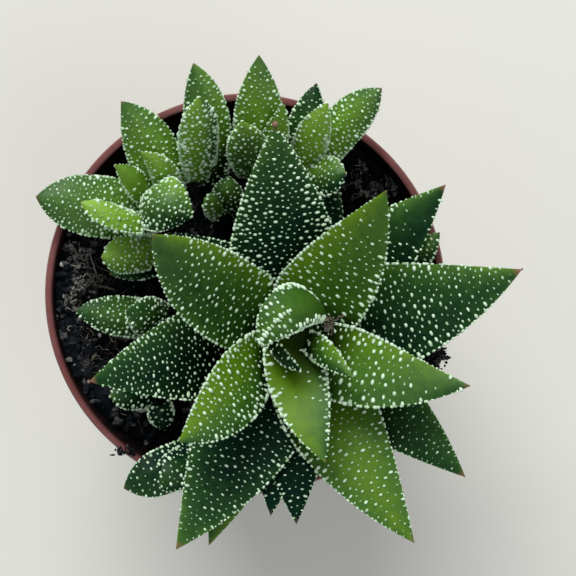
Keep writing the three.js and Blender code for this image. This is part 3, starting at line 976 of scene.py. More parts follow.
@dataclass(frozen=True)
class LeafSkin:
    """Waxy leaf skin: dark blue-green when old, yellow-green when young, with a dry brown tip.

    The mesh carries the leaf's numbers at each point: red is the place from the base to the tip, green is
    1 on the margins, blue is how young the skin looks with painted light and shade in it, and alpha is how
    dry the tip is. "light" is the share of the light that gets there between the neighbours, painted into
    the colour and the sheen as shade.
    """

    name: str
    old: Colour = (0.002, 0.018, 0.009)
    grown: Colour = (0.015, 0.062, 0.012)
    fresh: Colour = (0.056, 0.145, 0.020)
    young: Colour = (0.126, 0.245, 0.010)
    palest: Colour = (0.225, 0.410, 0.030)
    dry: Colour = (0.250, 0.120, 0.075)
    warmth: Colour = (0.82, 1.0, 0.28)
    mottle: float = 520.0
    mottle_depth: float = 0.085
    edge_tone: float = 0.08
    warm_reach: float = 0.75
    withered_from: float = 0.955
    grain: float = 2200.0
    roughness: float = 0.44
    shine: float = 0.15

    def material(self) -> bpy.types.Material:
        """Builds the material, which reads each leaf's numbers from the mesh.

        Returns:
            The new material.
        """
        nodes = MaterialNodes(self.name)
        numbers = nodes.carried("leaf")
        parts = nodes.add("ShaderNodeSeparateColor")
        nodes.feed(parts.inputs["Color"], numbers.outputs["Color"])
        # Blue is the tone, which holds painted light and shade as well as the skin's age.
        along, margin, youth_and_light = (parts.outputs[name] for name in ("Red", "Green", "Blue"))
        light = nodes.carried("light").outputs["Fac"]
        patches = nodes.speckle(self.mottle, detail=4.0, roughness=0.6)
        mottled = nodes.total(
            nodes.spread(patches, (0.25, 0.75), (-self.mottle_depth, self.mottle_depth)), youth_and_light)
        paler_edge = nodes.total(nodes.product(margin, self.edge_tone), mottled)
        tone = nodes.ramp(paler_edge, (0.04, self.old), (0.27, self.grown), (0.50, self.fresh),
                          (0.75, self.young), (1.0, self.palest))
        near_stem = nodes.spread(along, (0.0, self.warm_reach), (1.0, 0.0))
        not_old = nodes.spread(youth_and_light, (0.06, 0.19))
        warm = nodes.blend(nodes.product(near_stem, not_old), tone, self.warmth, Blend.TINT)
        withered = nodes.spread(along, (self.withered_from, 0.99))
        tipped = nodes.blend(nodes.product(withered, numbers.outputs["Alpha"]), warm, self.dry)
        gloss = nodes.spread(youth_and_light, (0.04, 0.34), (self.shine * 0.3, self.shine))
        # The carried light paints the neighbours' shade into the colour and the sheen.
        nodes.surface(
            Base_Color=nodes.blend(1.0, tipped, light, Blend.TINT),
            Specular_IOR_Level=nodes.product(gloss, light), Roughness=self.roughness,
            Subsurface_Weight=0.1, Subsurface_Radius=(0.6, 1.0, 0.2), Subsurface_Scale=0.001,
        )
        nodes.bump(nodes.speckle(self.grain, detail=3.0), strength=0.14, distance=0.0002)
        return nodes.material


@dataclass(frozen=True)
class WhiteTubercle:
    """The hard pale skin of the tubercles, greener on some and dull on the weakest.

    The mesh carries how pale each tubercle is, from 0 to 1, as "pale".
    """

    name: str = "tubercle_white"
    pale: Colour = (0.690, 0.890, 0.680)
    green: Colour = (0.370, 0.580, 0.310)
    dull: Colour = (0.125, 0.260, 0.095)
    patches: float = 900.0
    roughness: float = 0.38

    def material(self) -> bpy.types.Material:
        """Builds the material, which reads each tubercle's tone from the mesh.

        Returns:
            The new material.
        """
        nodes = MaterialNodes(self.name)
        patches = nodes.speckle(self.patches, detail=2.0)
        tone = nodes.ramp(patches, (0.3, self.green), (0.52, self.pale))
        paleness = nodes.carried("pale").outputs["Fac"]
        nodes.surface(
            Base_Color=nodes.blend(paleness, self.dull, tone), Roughness=self.roughness,
            Subsurface_Weight=0.15, Subsurface_Radius=(1.0, 1.0, 0.6), Subsurface_Scale=0.0003,
        )
        return nodes.material


@dataclass(frozen=True)
class PotPlastic:
    """Thin brick-red plastic with a fine moulded grain and dusty scuffs, inside dark with stain and painted
    shade.

    The mesh carries where the inside is darkened by peat stain and painted shade, from 0 to 1, as
    "stain_and_shade".
    """

    name: str = "pot_plastic"
    clean: Colour = (0.148, 0.038, 0.036)
    dusty: Colour = (0.225, 0.080, 0.076)
    # The inside's dark colour: peat stain, and painted shade of the deep pot.
    stain_and_shade: Colour = (0.006, 0.005, 0.005)
    dust_scale: float = 90.0
    blotch_scale: float = 380.0
    grain_scale: float = 3000.0
    shine: Span = (0.35, 0.06)
    roughness: Span = (0.4, 0.62)

    def material(self) -> bpy.types.Material:
        """Builds the material; shine runs from clean to the stained and shaded inside, where the painted
        shade also dims the sheen, and roughness from clean to dusty.

        Returns:
            The new material.
        """
        nodes = MaterialNodes(self.name)
        dust = nodes.speckle(self.dust_scale, detail=6.0, roughness=0.65)
        tone = nodes.ramp(dust, (0.42, self.clean), (0.75, self.dusty))
        patchy = nodes.spread(nodes.speckle(self.blotch_scale, detail=5.0), (0.35, 0.5), (0.9, 1.0))
        # Peat stain and painted shade darken the inside and take its sheen away.
        stained_and_shaded = nodes.product(nodes.carried("stain_and_shade").outputs["Fac"], patchy)
        nodes.surface(
            Base_Color=nodes.blend(stained_and_shaded, tone, self.stain_and_shade),
            Specular_IOR_Level=nodes.spread(stained_and_shaded, given=self.shine),
            Roughness=nodes.spread(dust, given=self.roughness),
        )
        nodes.bump(nodes.speckle(self.grain_scale, detail=2.0), strength=0.12, distance=0.0001)
        return nodes.material


@dataclass(frozen=True)
class Peat:
    """Dark crumbly peat, from nearly black to grey-brown; each crumb carries its own "shade"."""

    name: str = "potting_soil"
    dark: Colour = (0.0015, 0.0026, 0.0040)
    brown: Colour = (0.0090, 0.0120, 0.0165)
    pale: Colour = (0.235, 0.230, 0.215)
    clump_scale: float = 520.0
    clump_tone: float = 0.45
    roughness: float = 0.92
    shine: float = 0.15

    def material(self) -> bpy.types.Material:
        """Builds the material, which reads each crumb's shade from the mesh.

        Returns:
            The new material.
        """
        nodes = MaterialNodes(self.name)
        clumps = nodes.speckle(self.clump_scale, detail=8.0, roughness=0.7)
        shade = nodes.carried("shade").outputs["Fac"]
        total = nodes.total(nodes.spread(clumps, (0.3, 0.75), (0.0, self.clump_tone)), shade)
        nodes.surface(
            Base_Color=nodes.ramp(total, (0.05, self.dark), (0.5, self.brown), (1.0, self.pale)),
            Roughness=self.roughness, Specular_IOR_Level=self.shine,
        )
        nodes.bump(clumps, strength=0.7, distance=0.0006)
        return nodes.material


@dataclass(frozen=True)
class PlainGrain:
    """A pale grain or dry fibre, with a little variation along it."""

    name: str
    low: Colour
    high: Colour
    roughness: float = 0.85
    spots: float = 700.0

    def material(self) -> bpy.types.Material:
        """Builds the material.

        Returns:
            The new material.
        """
        nodes = MaterialNodes(self.name)
        tone = nodes.ramp(nodes.speckle(self.spots, detail=5.0), (0.35, self.low), (0.65, self.high))
        nodes.surface(Base_Color=tone, Roughness=self.roughness)
        return nodes.material


@dataclass(frozen=True)
class PaleFloor:
    """A plain pale matte surface."""

    colour: Colour = (0.745, 0.745, 0.700)

    def material(self) -> bpy.types.Material:
        """Builds the material.

        Returns:
            The new material.
        """
        nodes = MaterialNodes("pale_floor")
        nodes.surface(Base_Color=self.colour, Roughness=0.85, Specular_IOR_Level=0.1)
        return nodes.material


# The object's sub-assemblies.

def settle(piece: bpy.types.Object, slot: Slot, *nodes: str) -> None:
    """Rides a piece on the body, and hides the frame's nodes that it stands for.

    Args:
        piece: The dressed piece.
        slot: The record's slot of its finish; not used.
        nodes: The nodes that it replaces, none where it is only added.
    """
    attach(piece, ROOT)
    if nodes:
        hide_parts(*nodes)
    log.info("%s: %d faces", piece.name, len(piece.data.polygons))


@dataclass
class Rosette:
    """One rosette: its stem and leaves in one piece, its tubercles in another, and any dry tips."""

    plan: RosettePlan
    skin: bpy.types.Material
    white: bpy.types.Material
    withered: bpy.types.Material
    slot: Slot
    bead_sides: int = 6
    bead_rings: int = 2
    stem_sides: int = 20
    stem_rings: int = 8
    stem_light: float = 0.3

    def stem(self) -> tuple[Array, list]:
        """The stem as a closed body that narrows into the soil.

        Returns:
            Its points in millimetres and its faces.
        """
        plan = self.plan
        grid, faces = closed_rings(self.stem_sides, self.stem_rings)
        height = RIM_HEIGHT + plan.stem_bottom + grid[:, 0] * (plan.stem_top - plan.stem_bottom)
        swell = np.clip(np.sin(grid[:, 0] * math.pi), 0, 1) ** 0.35
        radius = plan.stem_radius * 0.92 * swell * (0.55 + 0.45 * np.minimum(1, grid[:, 0] * 2))
        angle = grid[:, 1] * 2 * math.pi
        x = plan.stem[0] + radius * np.cos(angle)
        y = plan.stem[1] + radius * np.sin(angle)
        return np.stack([x, y, height], axis=1), faces

    def look(self, leaf: Leaf, along: Array, place: Array, uneven: float) -> Array:
        """What the skin's material reads at the points of a leaf.

        Args:
            leaf: The leaf's plan.
            along: The points' places from the base, 0, to the tip, 1.
            place: Their places across, from -1 to 1.
            uneven: A small change of this leaf's tone.

        Returns:
            Rows of the place along, the nearness to the margin, the tone and the dryness.
        """
        tone = leaf.tone(along, place) + TONE_SHIFT + uneven
        dry = np.full(len(along), leaf.dry)
        return np.stack([along, np.abs(place) ** 6, np.clip(tone * TONE_STEP, 0, 1), dry], axis=1)

    def build(self) -> list[bpy.types.Object]:
        """Makes the leaves, the tubercles and the dry tips, dressed and settled.

        Returns:
            The new pieces.
        """
        plan = self.plan
        random = np.random.default_rng([SEED, len(plan.node), int(plan.stem[0] * 10) + 1000])
        bead, bead_faces = round_bead(self.bead_sides, self.bead_rings)
        stem, faces = self.stem()
        bodies, looks = [stem], [np.zeros((len(stem), 4))]
        lights = [np.full(len(stem), self.stem_light)]
        beads, tones, tips = [], [], []
        for leaf in plan.leaves:
            surface = LeafSurface(plan.stem, plan.habit, leaf)
            points, leaf_faces, along, place = surface.body()
            start = sum(len(body) for body in bodies)
            faces += [[index + start for index in face] for face in leaf_faces]
            bodies.append(points)
            looks.append(self.look(leaf, along, place, random.uniform(-0.02, 0.02)))
            lights.append(leaf.light(along, place))
            placed, pale = Tubercles(surface, random).placed(bead)
            beads.append(placed)
            tones.append(pale)
            if leaf.mucro:
                tips.append(surface.end + bead * leaf.mucro * np.array([1.0, 1.0, 0.8]))
        leaves = mesh_object("leaves_" + plan.node, np.concatenate(bodies), faces)
        carry(leaves, "leaf", np.concatenate(looks))
        carry(leaves, "light", np.concatenate(lights))
        leaves.data.materials.append(self.skin)
        settle(leaves, self.slot, plan.node)
        tubercles = mesh_object("tubercles_" + plan.node, *joined_copies(bead_faces, np.concatenate(beads)))
        carry(tubercles, "pale", np.repeat(np.concatenate(tones), len(bead)))
        tubercles.data.materials.append(self.white)
        settle(tubercles, Slot.WHITE)
        made = [leaves, tubercles]
        if tips:
            dry_tips = mesh_object("dry_tips_" + plan.node, *joined_copies(bead_faces, np.array(tips)))
            dry_tips.data.materials.append(self.withered)
            settle(dry_tips, Slot.FIBRE)
            made.append(dry_tips)
        return made


def turned(name: str, profile: list[Span], sides: int) -> bpy.types.Object:
    """A body turned round the vertical axis, drawn up ring by ring from a filled circle.

    Args:
        name: The piece's name.
        profile: Radius and height of each ring in millimetres; the first and the last are closed.
        sides: Points round each ring.

    Returns:
        The new object, its faces facing out.
    """
    rings = [(radius * MM, height * MM) for radius, height in profile]
    first_radius, first_height = rings[0]
    deselect_all()
    bpy.ops.mesh.primitive_circle_add(
        vertices=sides, radius=first_radius, fill_type="NGON", location=(0, 0, first_height))
    body = bpy.context.object
    body.name = body.data.name = name
    bpy.ops.object.mode_set(mode="EDIT")
    bpy.ops.mesh.select_mode(type="FACE")
    bpy.ops.mesh.select_all(action="SELECT")
    for (radius, height), (next_radius, next_height) in zip(rings, rings[1:]):
        bpy.ops.mesh.extrude_region_move(TRANSFORM_OT_translate={"value": (0, 0, next_height - height)})
        share = next_radius / radius
        bpy.ops.transform.resize(value=(share, share, 1), center_override=(0, 0, next_height))
    bpy.ops.mesh.select_all(action="SELECT")
    bpy.ops.mesh.normals_make_consistent(inside=False)
    bpy.ops.object.mode_set(mode="OBJECT")
    bpy.ops.object.transform_apply(location=True, rotation=True, scale=True)
    return body


def apply_modifier(piece: bpy.types.Object, kind: str, **values: object) -> None:
    """Adds a modifier to the piece and applies it.

    Args:
        piece: The piece.
        kind: The modifier's type.
        values: The modifier's settings.
    """
    select_only(piece)
    modifier = piece.modifiers.new(kind.lower(), kind)
    for key, value in values.items():
        setattr(modifier, key, value)
    bpy.ops.object.modifier_apply(modifier=modifier.name)


@dataclass
class NurseryPot:
    """The thin plastic pot, turned from one profile, with its water channel and drain holes.

    channel is the inner radius, the outer radius and the depth of the channel in the underside, and
    notch the width and the depth of the grooves that lead out of it. Edges are rounded by edge_radius
    where two faces meet at more than bevel_from degrees, and shaded smooth under smooth_below degrees.
    stain_and_shade_end is how far under the rim the dark inside, peat stain and painted shade, begins to
    weaken, over stain_and_shade_fade, down to stain_and_shade_least.
    """

    material: bpy.types.Material
    height: float = RIM_HEIGHT
    rim_radius: float = RIM_RADIUS
    base_radius: float = 31.0
    wall: float = 1.2
    collar_height: float = 11.0
    collar_step: float = 1.6
    shoulder: float = 0.6
    lip_width: float = LIP_WIDTH
    lip_height: float = 1.6
    channel: tuple[float, float, float] = (20.0, 27.0, 1.5)
    drain_count: int = 6
    drain_radius: float = 2.5
    drain_sides: int = 32
    notch: Span = (5.0, 0.7)
    sides: int = 144
    edge_radius: float = 0.3
    bevel_from: float = 32.0
    smooth_below: float = 35.0
    stain_and_shade_end: float = 0.4
    stain_and_shade_fade: float = 1.2
    stain_and_shade_least: float = 0.72

    def landmarks(self) -> tuple[float, float, float]:
        """Measures that the profile and the stain share.

        Returns:
            The height of the collar's foot, the collar's radius at the top and the wall's just under it.
        """
        foot = self.height - self.collar_height
        collar = self.rim_radius - self.lip_width / 2
        return foot, collar, collar - self.collar_step - self.shoulder

    def profile(self) -> list[Span]:
        """The pot's section, from the middle of the underside to the middle of the floor.

        Returns:
            Radius and height of each turn.
        """
        inner, outer, depth = self.channel
        foot, collar, wall_top = self.landmarks()
        below_collar = foot + self.wall
        return [
            (inner, 0),
            (inner + 1, depth),
            (outer - 1, depth),
            (outer, 0),
            (self.base_radius, 0),
            (wall_top, foot),
            (wall_top + self.collar_step, foot),
            (collar, self.height - self.lip_height),
            (self.rim_radius, self.height - self.lip_height / 2),
            (self.rim_radius - self.lip_width / 4, self.height),
            (self.rim_radius - self.lip_width * 0.58, self.height),
            (self.rim_radius - self.lip_width, self.height),
            (wall_top + self.collar_step - self.wall, below_collar),
            (wall_top - self.wall, below_collar),
            (self.base_radius - self.wall, self.wall),
            (outer + 1, self.wall),
            (outer, depth + self.wall),
            (inner, depth + self.wall),
            (inner - 1, self.wall),
        ]

    def cut_drains(self, pot: bpy.types.Object) -> None:
        """Cuts the drain holes through the channel's roof and the notches under the wall.

        Args:
            pot: The turned pot.
        """
        inner, outer, depth = self.channel
        notch_width, notch_depth = self.notch
        for index in range(self.drain_count):
            angle = index * 2 * math.pi / self.drain_count
            middle = (inner + outer) / 2 * MM
            deselect_all()
            bpy.ops.mesh.primitive_cylinder_add(
                vertices=self.drain_sides, radius=self.drain_radius * MM, depth=4 * depth * MM,
                location=(middle * math.cos(angle), middle * math.sin(angle), depth * MM))
            hole = bpy.context.object
            middle = (self.base_radius + outer) / 2 * MM
            length = (self.base_radius - outer + 4) * MM
            bpy.ops.mesh.primitive_cube_add(
                size=1, scale=(length, notch_width * MM, 2 * notch_depth * MM), rotation=(0, 0, angle),
                location=(middle * math.cos(angle), middle * math.sin(angle), 0))
            groove = bpy.context.object
            for cutter in (hole, groove):
                apply_modifier(pot, "BOOLEAN", object=cutter, operation="DIFFERENCE", solver="EXACT")
                bpy.data.objects.remove(cutter)

    def stain_and_shade_inside(self, pot: bpy.types.Object) -> None:
        """Marks the points of the inner wall and of the lip's inner edge, dark with peat stain and painted
        shade.

        Args:
            pot: The finished pot.
        """
        places = np.array([vertex.co[:] for vertex in pot.data.vertices]) / MM
        radius = np.linalg.norm(places[:, :2], axis=1)
        height = places[:, 2]
        foot, _, wall_top = self.landmarks()
        wall = self.base_radius + (wall_top - self.base_radius) * height / foot
        raised = (height - foot) / (self.collar_height - self.lip_height)
        collar = wall_top + self.collar_step + self.shoulder * raised
        outside = np.where(height < foot + self.wall / 2, wall, collar)
        inside = (radius < outside - self.wall / 2) & (height > self.channel[2] + self.wall / 2)
        inside &= radius < self.rim_radius - self.lip_width * 0.85
        # The painted shade deepens from under the rim down the wall.
        depth = np.clip((self.height - self.stain_and_shade_end - height) / self.stain_and_shade_fade, self.stain_and_shade_least, 1)
        carry(pot, "stain_and_shade", inside * depth)

    def build(self) -> bpy.types.Object:
        """Turns the pot, cuts its drains and rounds its edges.

        Returns:
            The dressed pot.
        """
        profile = self.profile()
        lip_edge = self.rim_radius - self.lip_width
        lip = next(index for index, (radius, _) in enumerate(profile) if radius == lip_edge)
        # One more turn close under the lip keeps the edge of the stain and painted shade there narrow.
        below = (lip_edge - 0.2, self.height - 2.0)
        pot = turned("nursery_pot", profile[:lip + 1] + [below] + profile[lip + 1:], self.sides)
        self.cut_drains(pot)
        apply_modifier(pot, "BEVEL", width=self.edge_radius * MM, segments=2, limit_method="ANGLE",
                       angle_limit=math.radians(self.bevel_from))
        select_only(pot)
        bpy.ops.object.shade_smooth_by_angle(angle=math.radians(self.smooth_below))
        self.stain_and_shade_inside(pot)
        pot.data.materials.append(self.material)
        settle(pot, Slot.POT, "pot")
        return pot


@dataclass
class SoilBed:
    """The peat in the pot: a bed with a fine relief, loose crumbs and grey-brown fibrous lumps.

    The bed dips round the stems and is banked up against the wall; each bank is the azimuth of its
    middle, its spread in degrees and its height. swells and grit are the width and height of the relief.
    Where the bed is higher than the step under the pot's collar it reaches out to collar_radius, else
    to edge_radius. Each lump is its middle, its spread, how rich it is in fragments and their shade.
    uneven and flat are the shares by which a crumb's points and its three axes vary.
    """

    peat: bpy.types.Material
    stems: list[Span]
    depth_below_rim: float = 12.0
    tilt: float = 1.6
    dip: float = 3.0
    dip_radius: float = 9.0
    swells: Span = (5.0, 1.1)
    grit: Span = (1.3, 0.55)
    foot: float = 3.2
    foot_radius: float = 29.2
    edge_radius: float = 40.4
    banks: tuple[tuple[float, float, float], ...] = ((190.0, 42.0, 7.8), (40.0, 30.0, 4.6))
    bank_foot: float = 31.0
    bank_width: float = 8.0
    step_height: float = 68.4
    collar_radius: float = 42.9
    crumbs: int = 3400
    crumb_sizes: Span = (0.2, 1.5)
    crumb_sunk: float = 0.35
    uneven: Span = (0.45, 1.35)
    flat: Span = (0.45, 1.6)
    # The north-eastern lumps have the palest shades, which partly paint light on them in the shadow of the
    # pot's wall.
    lumps: tuple[tuple[float, float, float, int, float], ...] = (
        (-39.9, 11.2, 1.0, 16, 0.70), (-38.5, 8.6, 1.3, 30, 0.60), (-36.3, 9.8, 1.0, 14, 0.60),
        (-36.8, 2.0, 1.9, 56, 0.75), (-34.9, 3.4, 1.0, 14, 0.60), (-39.8, -1.6, 1.4, 32, 0.60),
        (-37.0, 5.6, 1.3, 24, 0.45), (-37.6, -7.2, 1.5, 26, 0.32), (-35.6, -12.0, 1.5, 24, 0.28),
        (-32.5, -16.0, 1.5, 20, 0.26), (28.1, 30.5, 1.6, 44, 0.90), (25.6, 32.6, 1.0, 14, 0.80),
        (32.4, 26.0, 1.4, 28, 0.80), (34.7, 22.9, 1.4, 26, 0.70), (26.0, 25.8, 1.4, 26, 0.60),
        (28.6, 23.8, 1.5, 28, 0.70), (-24.0, 31.5, 1.5, 22, 0.30), (33.5, 14.5, 1.4, 16, 0.35),
    )
    fragments: float = 2.4
    fragment_sizes: Span = (0.14, 0.5)
    fragment_heights: Span = (0.1, 1.5)
    rim_clump_tone: float = 0.45
    smallest_on_rim: float = 0.25
    crumb_sides: int = 6
    crumb_rings: int = 3
    rings: int = 72
    sides: int = 240

    def bank(self, x: Array, y: Array) -> Array:
        """How high the peat is banked up against the wall, in the west and in the north-east.

        Args:
            x: Places in millimetres.
            y: Places in millimetres.

        Returns:
            Millimetres above the plain bed.
        """
        azimuth = np.degrees(np.arctan2(y, x)) % 360
        rise = eased(np.clip((np.hypot(x, y) - self.bank_foot) / self.bank_width, 0, 1))
        return sum(height * rise * np.exp(-((azimuth - middle) / spread) ** 4)
                   for middle, spread, height in self.banks)

    def relief(self, x: Array, y: Array, width: float, layer: float) -> Array:
        """One layer of uneven ground.

        Args:
            x: Places in millimetres.
            y: Places in millimetres.
            width: How wide its swells are.
            layer: Where the noise is cut, another number for each layer.

        Returns:
            Shares of the layer's height.
        """
        return np.array([noise.noise(Vector((a / width, b / width, layer))) for a, b in zip(x, y)])

    def level(self) -> float:
        """The height of the plain bed in millimetres."""
        return RIM_HEIGHT - self.depth_below_rim

    def height(self, x: Array, y: Array) -> Array:
        """How high the bed is.

        Args:
            x: Places in millimetres.
            y: Places in millimetres.

        Returns:
            Heights in millimetres.
        """
        away = np.min([np.hypot(x - stem_x, y - stem_y) for stem_x, stem_y in self.stems], axis=0)
        dip = self.dip * np.exp(-(away / self.dip_radius) ** 2)
        tilt = self.tilt * (-x - y) / RIM_RADIUS
        (wide, high), (narrow, low) = self.swells, self.grit
        swells, grit = self.relief(x, y, wide, 3.7), self.relief(x, y, narrow, 9.1)
        return self.level() + tilt - dip + self.bank(x, y) + high * swells + low * grit

    def edge(self, ground: Array) -> Array:
        """The radius to which peat reaches where the bed has these heights."""
        return np.where(ground > self.step_height + 0.2, self.collar_radius, self.edge_radius)

    def bed(self) -> bpy.types.Object:
        """The bed itself, turned like a plug and then given its relief.

        Where a bank is higher than the step under the pot's collar, the bed's top reaches into the collar.

        Returns:
            The dressed bed.
        """
        level = self.level()
        side = [(self.foot_radius, self.foot), (self.edge_radius, level - 1)]
        top = [(self.edge_radius * (1 - ring / self.rings) + 0.02, level) for ring in range(self.rings + 1)]
        bed = turned("soil_bed", side + top, self.sides)
        mesh = bed.data
        places = np.empty(len(mesh.vertices) * 3)
        mesh.vertices.foreach_get("co", places)
        places = places.reshape(-1, 3) / MM
        upper = places[:, 2] > level - 0.5
        ledge = np.abs(places[:, 2] - level + 1) < 0.1
        places[upper, 2] = self.height(places[upper, 0], places[upper, 1])
        under_top = self.height(places[ledge, 0], places[ledge, 1]) - 0.3
        places[ledge, 2] = np.minimum(under_top, self.step_height)
        rim = upper & (np.hypot(places[:, 0], places[:, 1]) > self.edge_radius - 0.3)
        rim &= places[:, 2] > self.step_height + 0.2
        places[rim, :2] *= self.collar_radius / self.edge_radius
        mesh.vertices.foreach_set("co", (places * MM).ravel())
        mesh.update()
        mesh.shade_smooth()
        carry(bed, "shade", np.zeros(len(places)))
        mesh.materials.append(self.peat)
        settle(bed, Slot.SOIL, "soil")
        return bed

    def heap(self, name: str, places: Array, sizes: Array, shades: Array,
             random: np.random.Generator) -> bpy.types.Object:
        """Many uneven crumbs in one piece, not dressed yet.

        Args:
            name: The piece's name.
            places: Middle of each crumb in millimetres.
            sizes: Radius of each crumb.
            shades: Shade of each crumb, from 0, dark, to 1, pale.
            random: Source of the crumbs' unevenness.

        Returns:
            The piece, flat shaded.
        """
        shape, faces = round_bead(self.crumb_sides, self.crumb_rings)
        count = len(places)
        uneven = random.uniform(*self.uneven, (count, len(shape), 1))
        flat = random.uniform(*self.flat, (count, 1, 3))
        turns = random.uniform(0, 2 * math.pi, count)
        body = shape[None] * uneven * flat * sizes[:, None, None]
        cosine, sine = np.cos(turns)[:, None], np.sin(turns)[:, None]
        x = body[:, :, 0] * cosine - body[:, :, 2] * sine
        z = body[:, :, 0] * sine + body[:, :, 2] * cosine
        placed = np.stack([x, body[:, :, 1], z], axis=2) + places[:, None, :]
        heap = mesh_object(name, *joined_copies(faces, placed), smooth=False)
        carry(heap, "shade", np.repeat(shades, len(shape)))
        return heap

    def peat_heap(self, name: str, places: Array, sizes: Array, shades: Array,
                  random: np.random.Generator) -> bpy.types.Object:
        """A heap of peat, dressed and settled.

        Args:
            name: The piece's name.
            places: Middle of each crumb in millimetres.
            sizes: Radius of each crumb.
            shades: Shade of each crumb, from 0, dark, to 1, pale.
            random: Source of the crumbs' unevenness.

        Returns:
            The dressed piece.
        """
        heap = self.heap(name, places, sizes, shades, random)
        heap.data.materials.append(self.peat)
        settle(heap, Slot.SOIL)
        return heap

    def loose_crumbs(self, random: np.random.Generator) -> bpy.types.Object:
        """Crumbs all over the bed, most of them small and dark.

        Args:
            random: Source of their places, sizes and shades.

        Returns:
            The dressed piece.
        """
        radius = self.collar_radius * np.sqrt(random.uniform(0, 1, self.crumbs))
        angle = random.uniform(0, 2 * math.pi, self.crumbs)
        x, y = radius * np.cos(angle), radius * np.sin(angle)
        sizes = np.clip(random.lognormal(-0.7, 0.45, self.crumbs), *self.crumb_sizes)
        inside = np.hypot(x, y) + sizes < self.edge(self.height(x, y)) + 0.4
        x, y, sizes = x[inside], y[inside], sizes[inside]
        places = np.stack([x, y, self.height(x, y) + sizes * self.crumb_sunk], axis=1)
        shades = random.beta(1.2, 3.2, len(x)) * 0.75
        return self.peat_heap("soil_crumbs", places, sizes, shades, random)

    def fibrous_lumps(self, random: np.random.Generator) -> bpy.types.Object:
        """Grey lumps of old root and fibre in fragments, on the banks and in the open parts of the bed.

        Args:
            random: Source of the fragments' places, sizes and shades.

        Returns:
            The dressed piece.
        """
        places, sizes, shades = [], [], []
        for x, y, spread, richness, shade in self.lumps:
            for _ in range(int(richness * self.fragments)):
                at = np.array([x, y]) + random.normal(0, 0.62 * spread, 2)
                size = random.uniform(*self.fragment_sizes)
                ground = self.height(at[:1], at[1:])[0]
                if np.hypot(*at) + size > self.edge(ground):
                    continue
                places.append((at[0], at[1], ground + random.uniform(*self.fragment_heights)))
                sizes.append(size)
                shades.append(shade * random.beta(1.1, 1.6) * 1.7)
        return self.peat_heap("fibrous_lumps", np.array(places), np.array(sizes), np.array(shades), random)

    def rim_crumbs(self, random: np.random.Generator) -> bpy.types.Object:
        """Crumbs that hang on the rim: a few in the south-west and a clump in the east.

        Args:
            random: Source of their places, sizes and shades.

        Returns:
            The dressed piece.
        """
        places, sizes, shades = [], [], []
        clumps = [
            ((-27.2, -35.2, RIM_HEIGHT + 0.3), (1.6, 1.0, 0.5), 34, 0.5),
            ((42.4, -14.1, RIM_HEIGHT + 1.0), (1.5, 1.6, 0.9), 90, 0.75),
        ]
        for middle, spread, count, largest in clumps:
            for _ in range(count):
                places.append(np.array(middle) + random.normal(0, 1, 3) * spread * 0.75)
                sizes.append(random.uniform(self.smallest_on_rim, largest))
                shades.append(random.uniform(0.0, self.rim_clump_tone))
        return self.peat_heap("rim_crumbs", np.array(places), np.array(sizes), np.array(shades), random)

    def build(self) -> list[bpy.types.Object]:
        """Makes the bed and the peat that lies loose on it and on the rim."""
        random = np.random.default_rng(SEED)
        return [self.bed(), self.loose_crumbs(random), self.fibrous_lumps(random), self.rim_crumbs(random)]


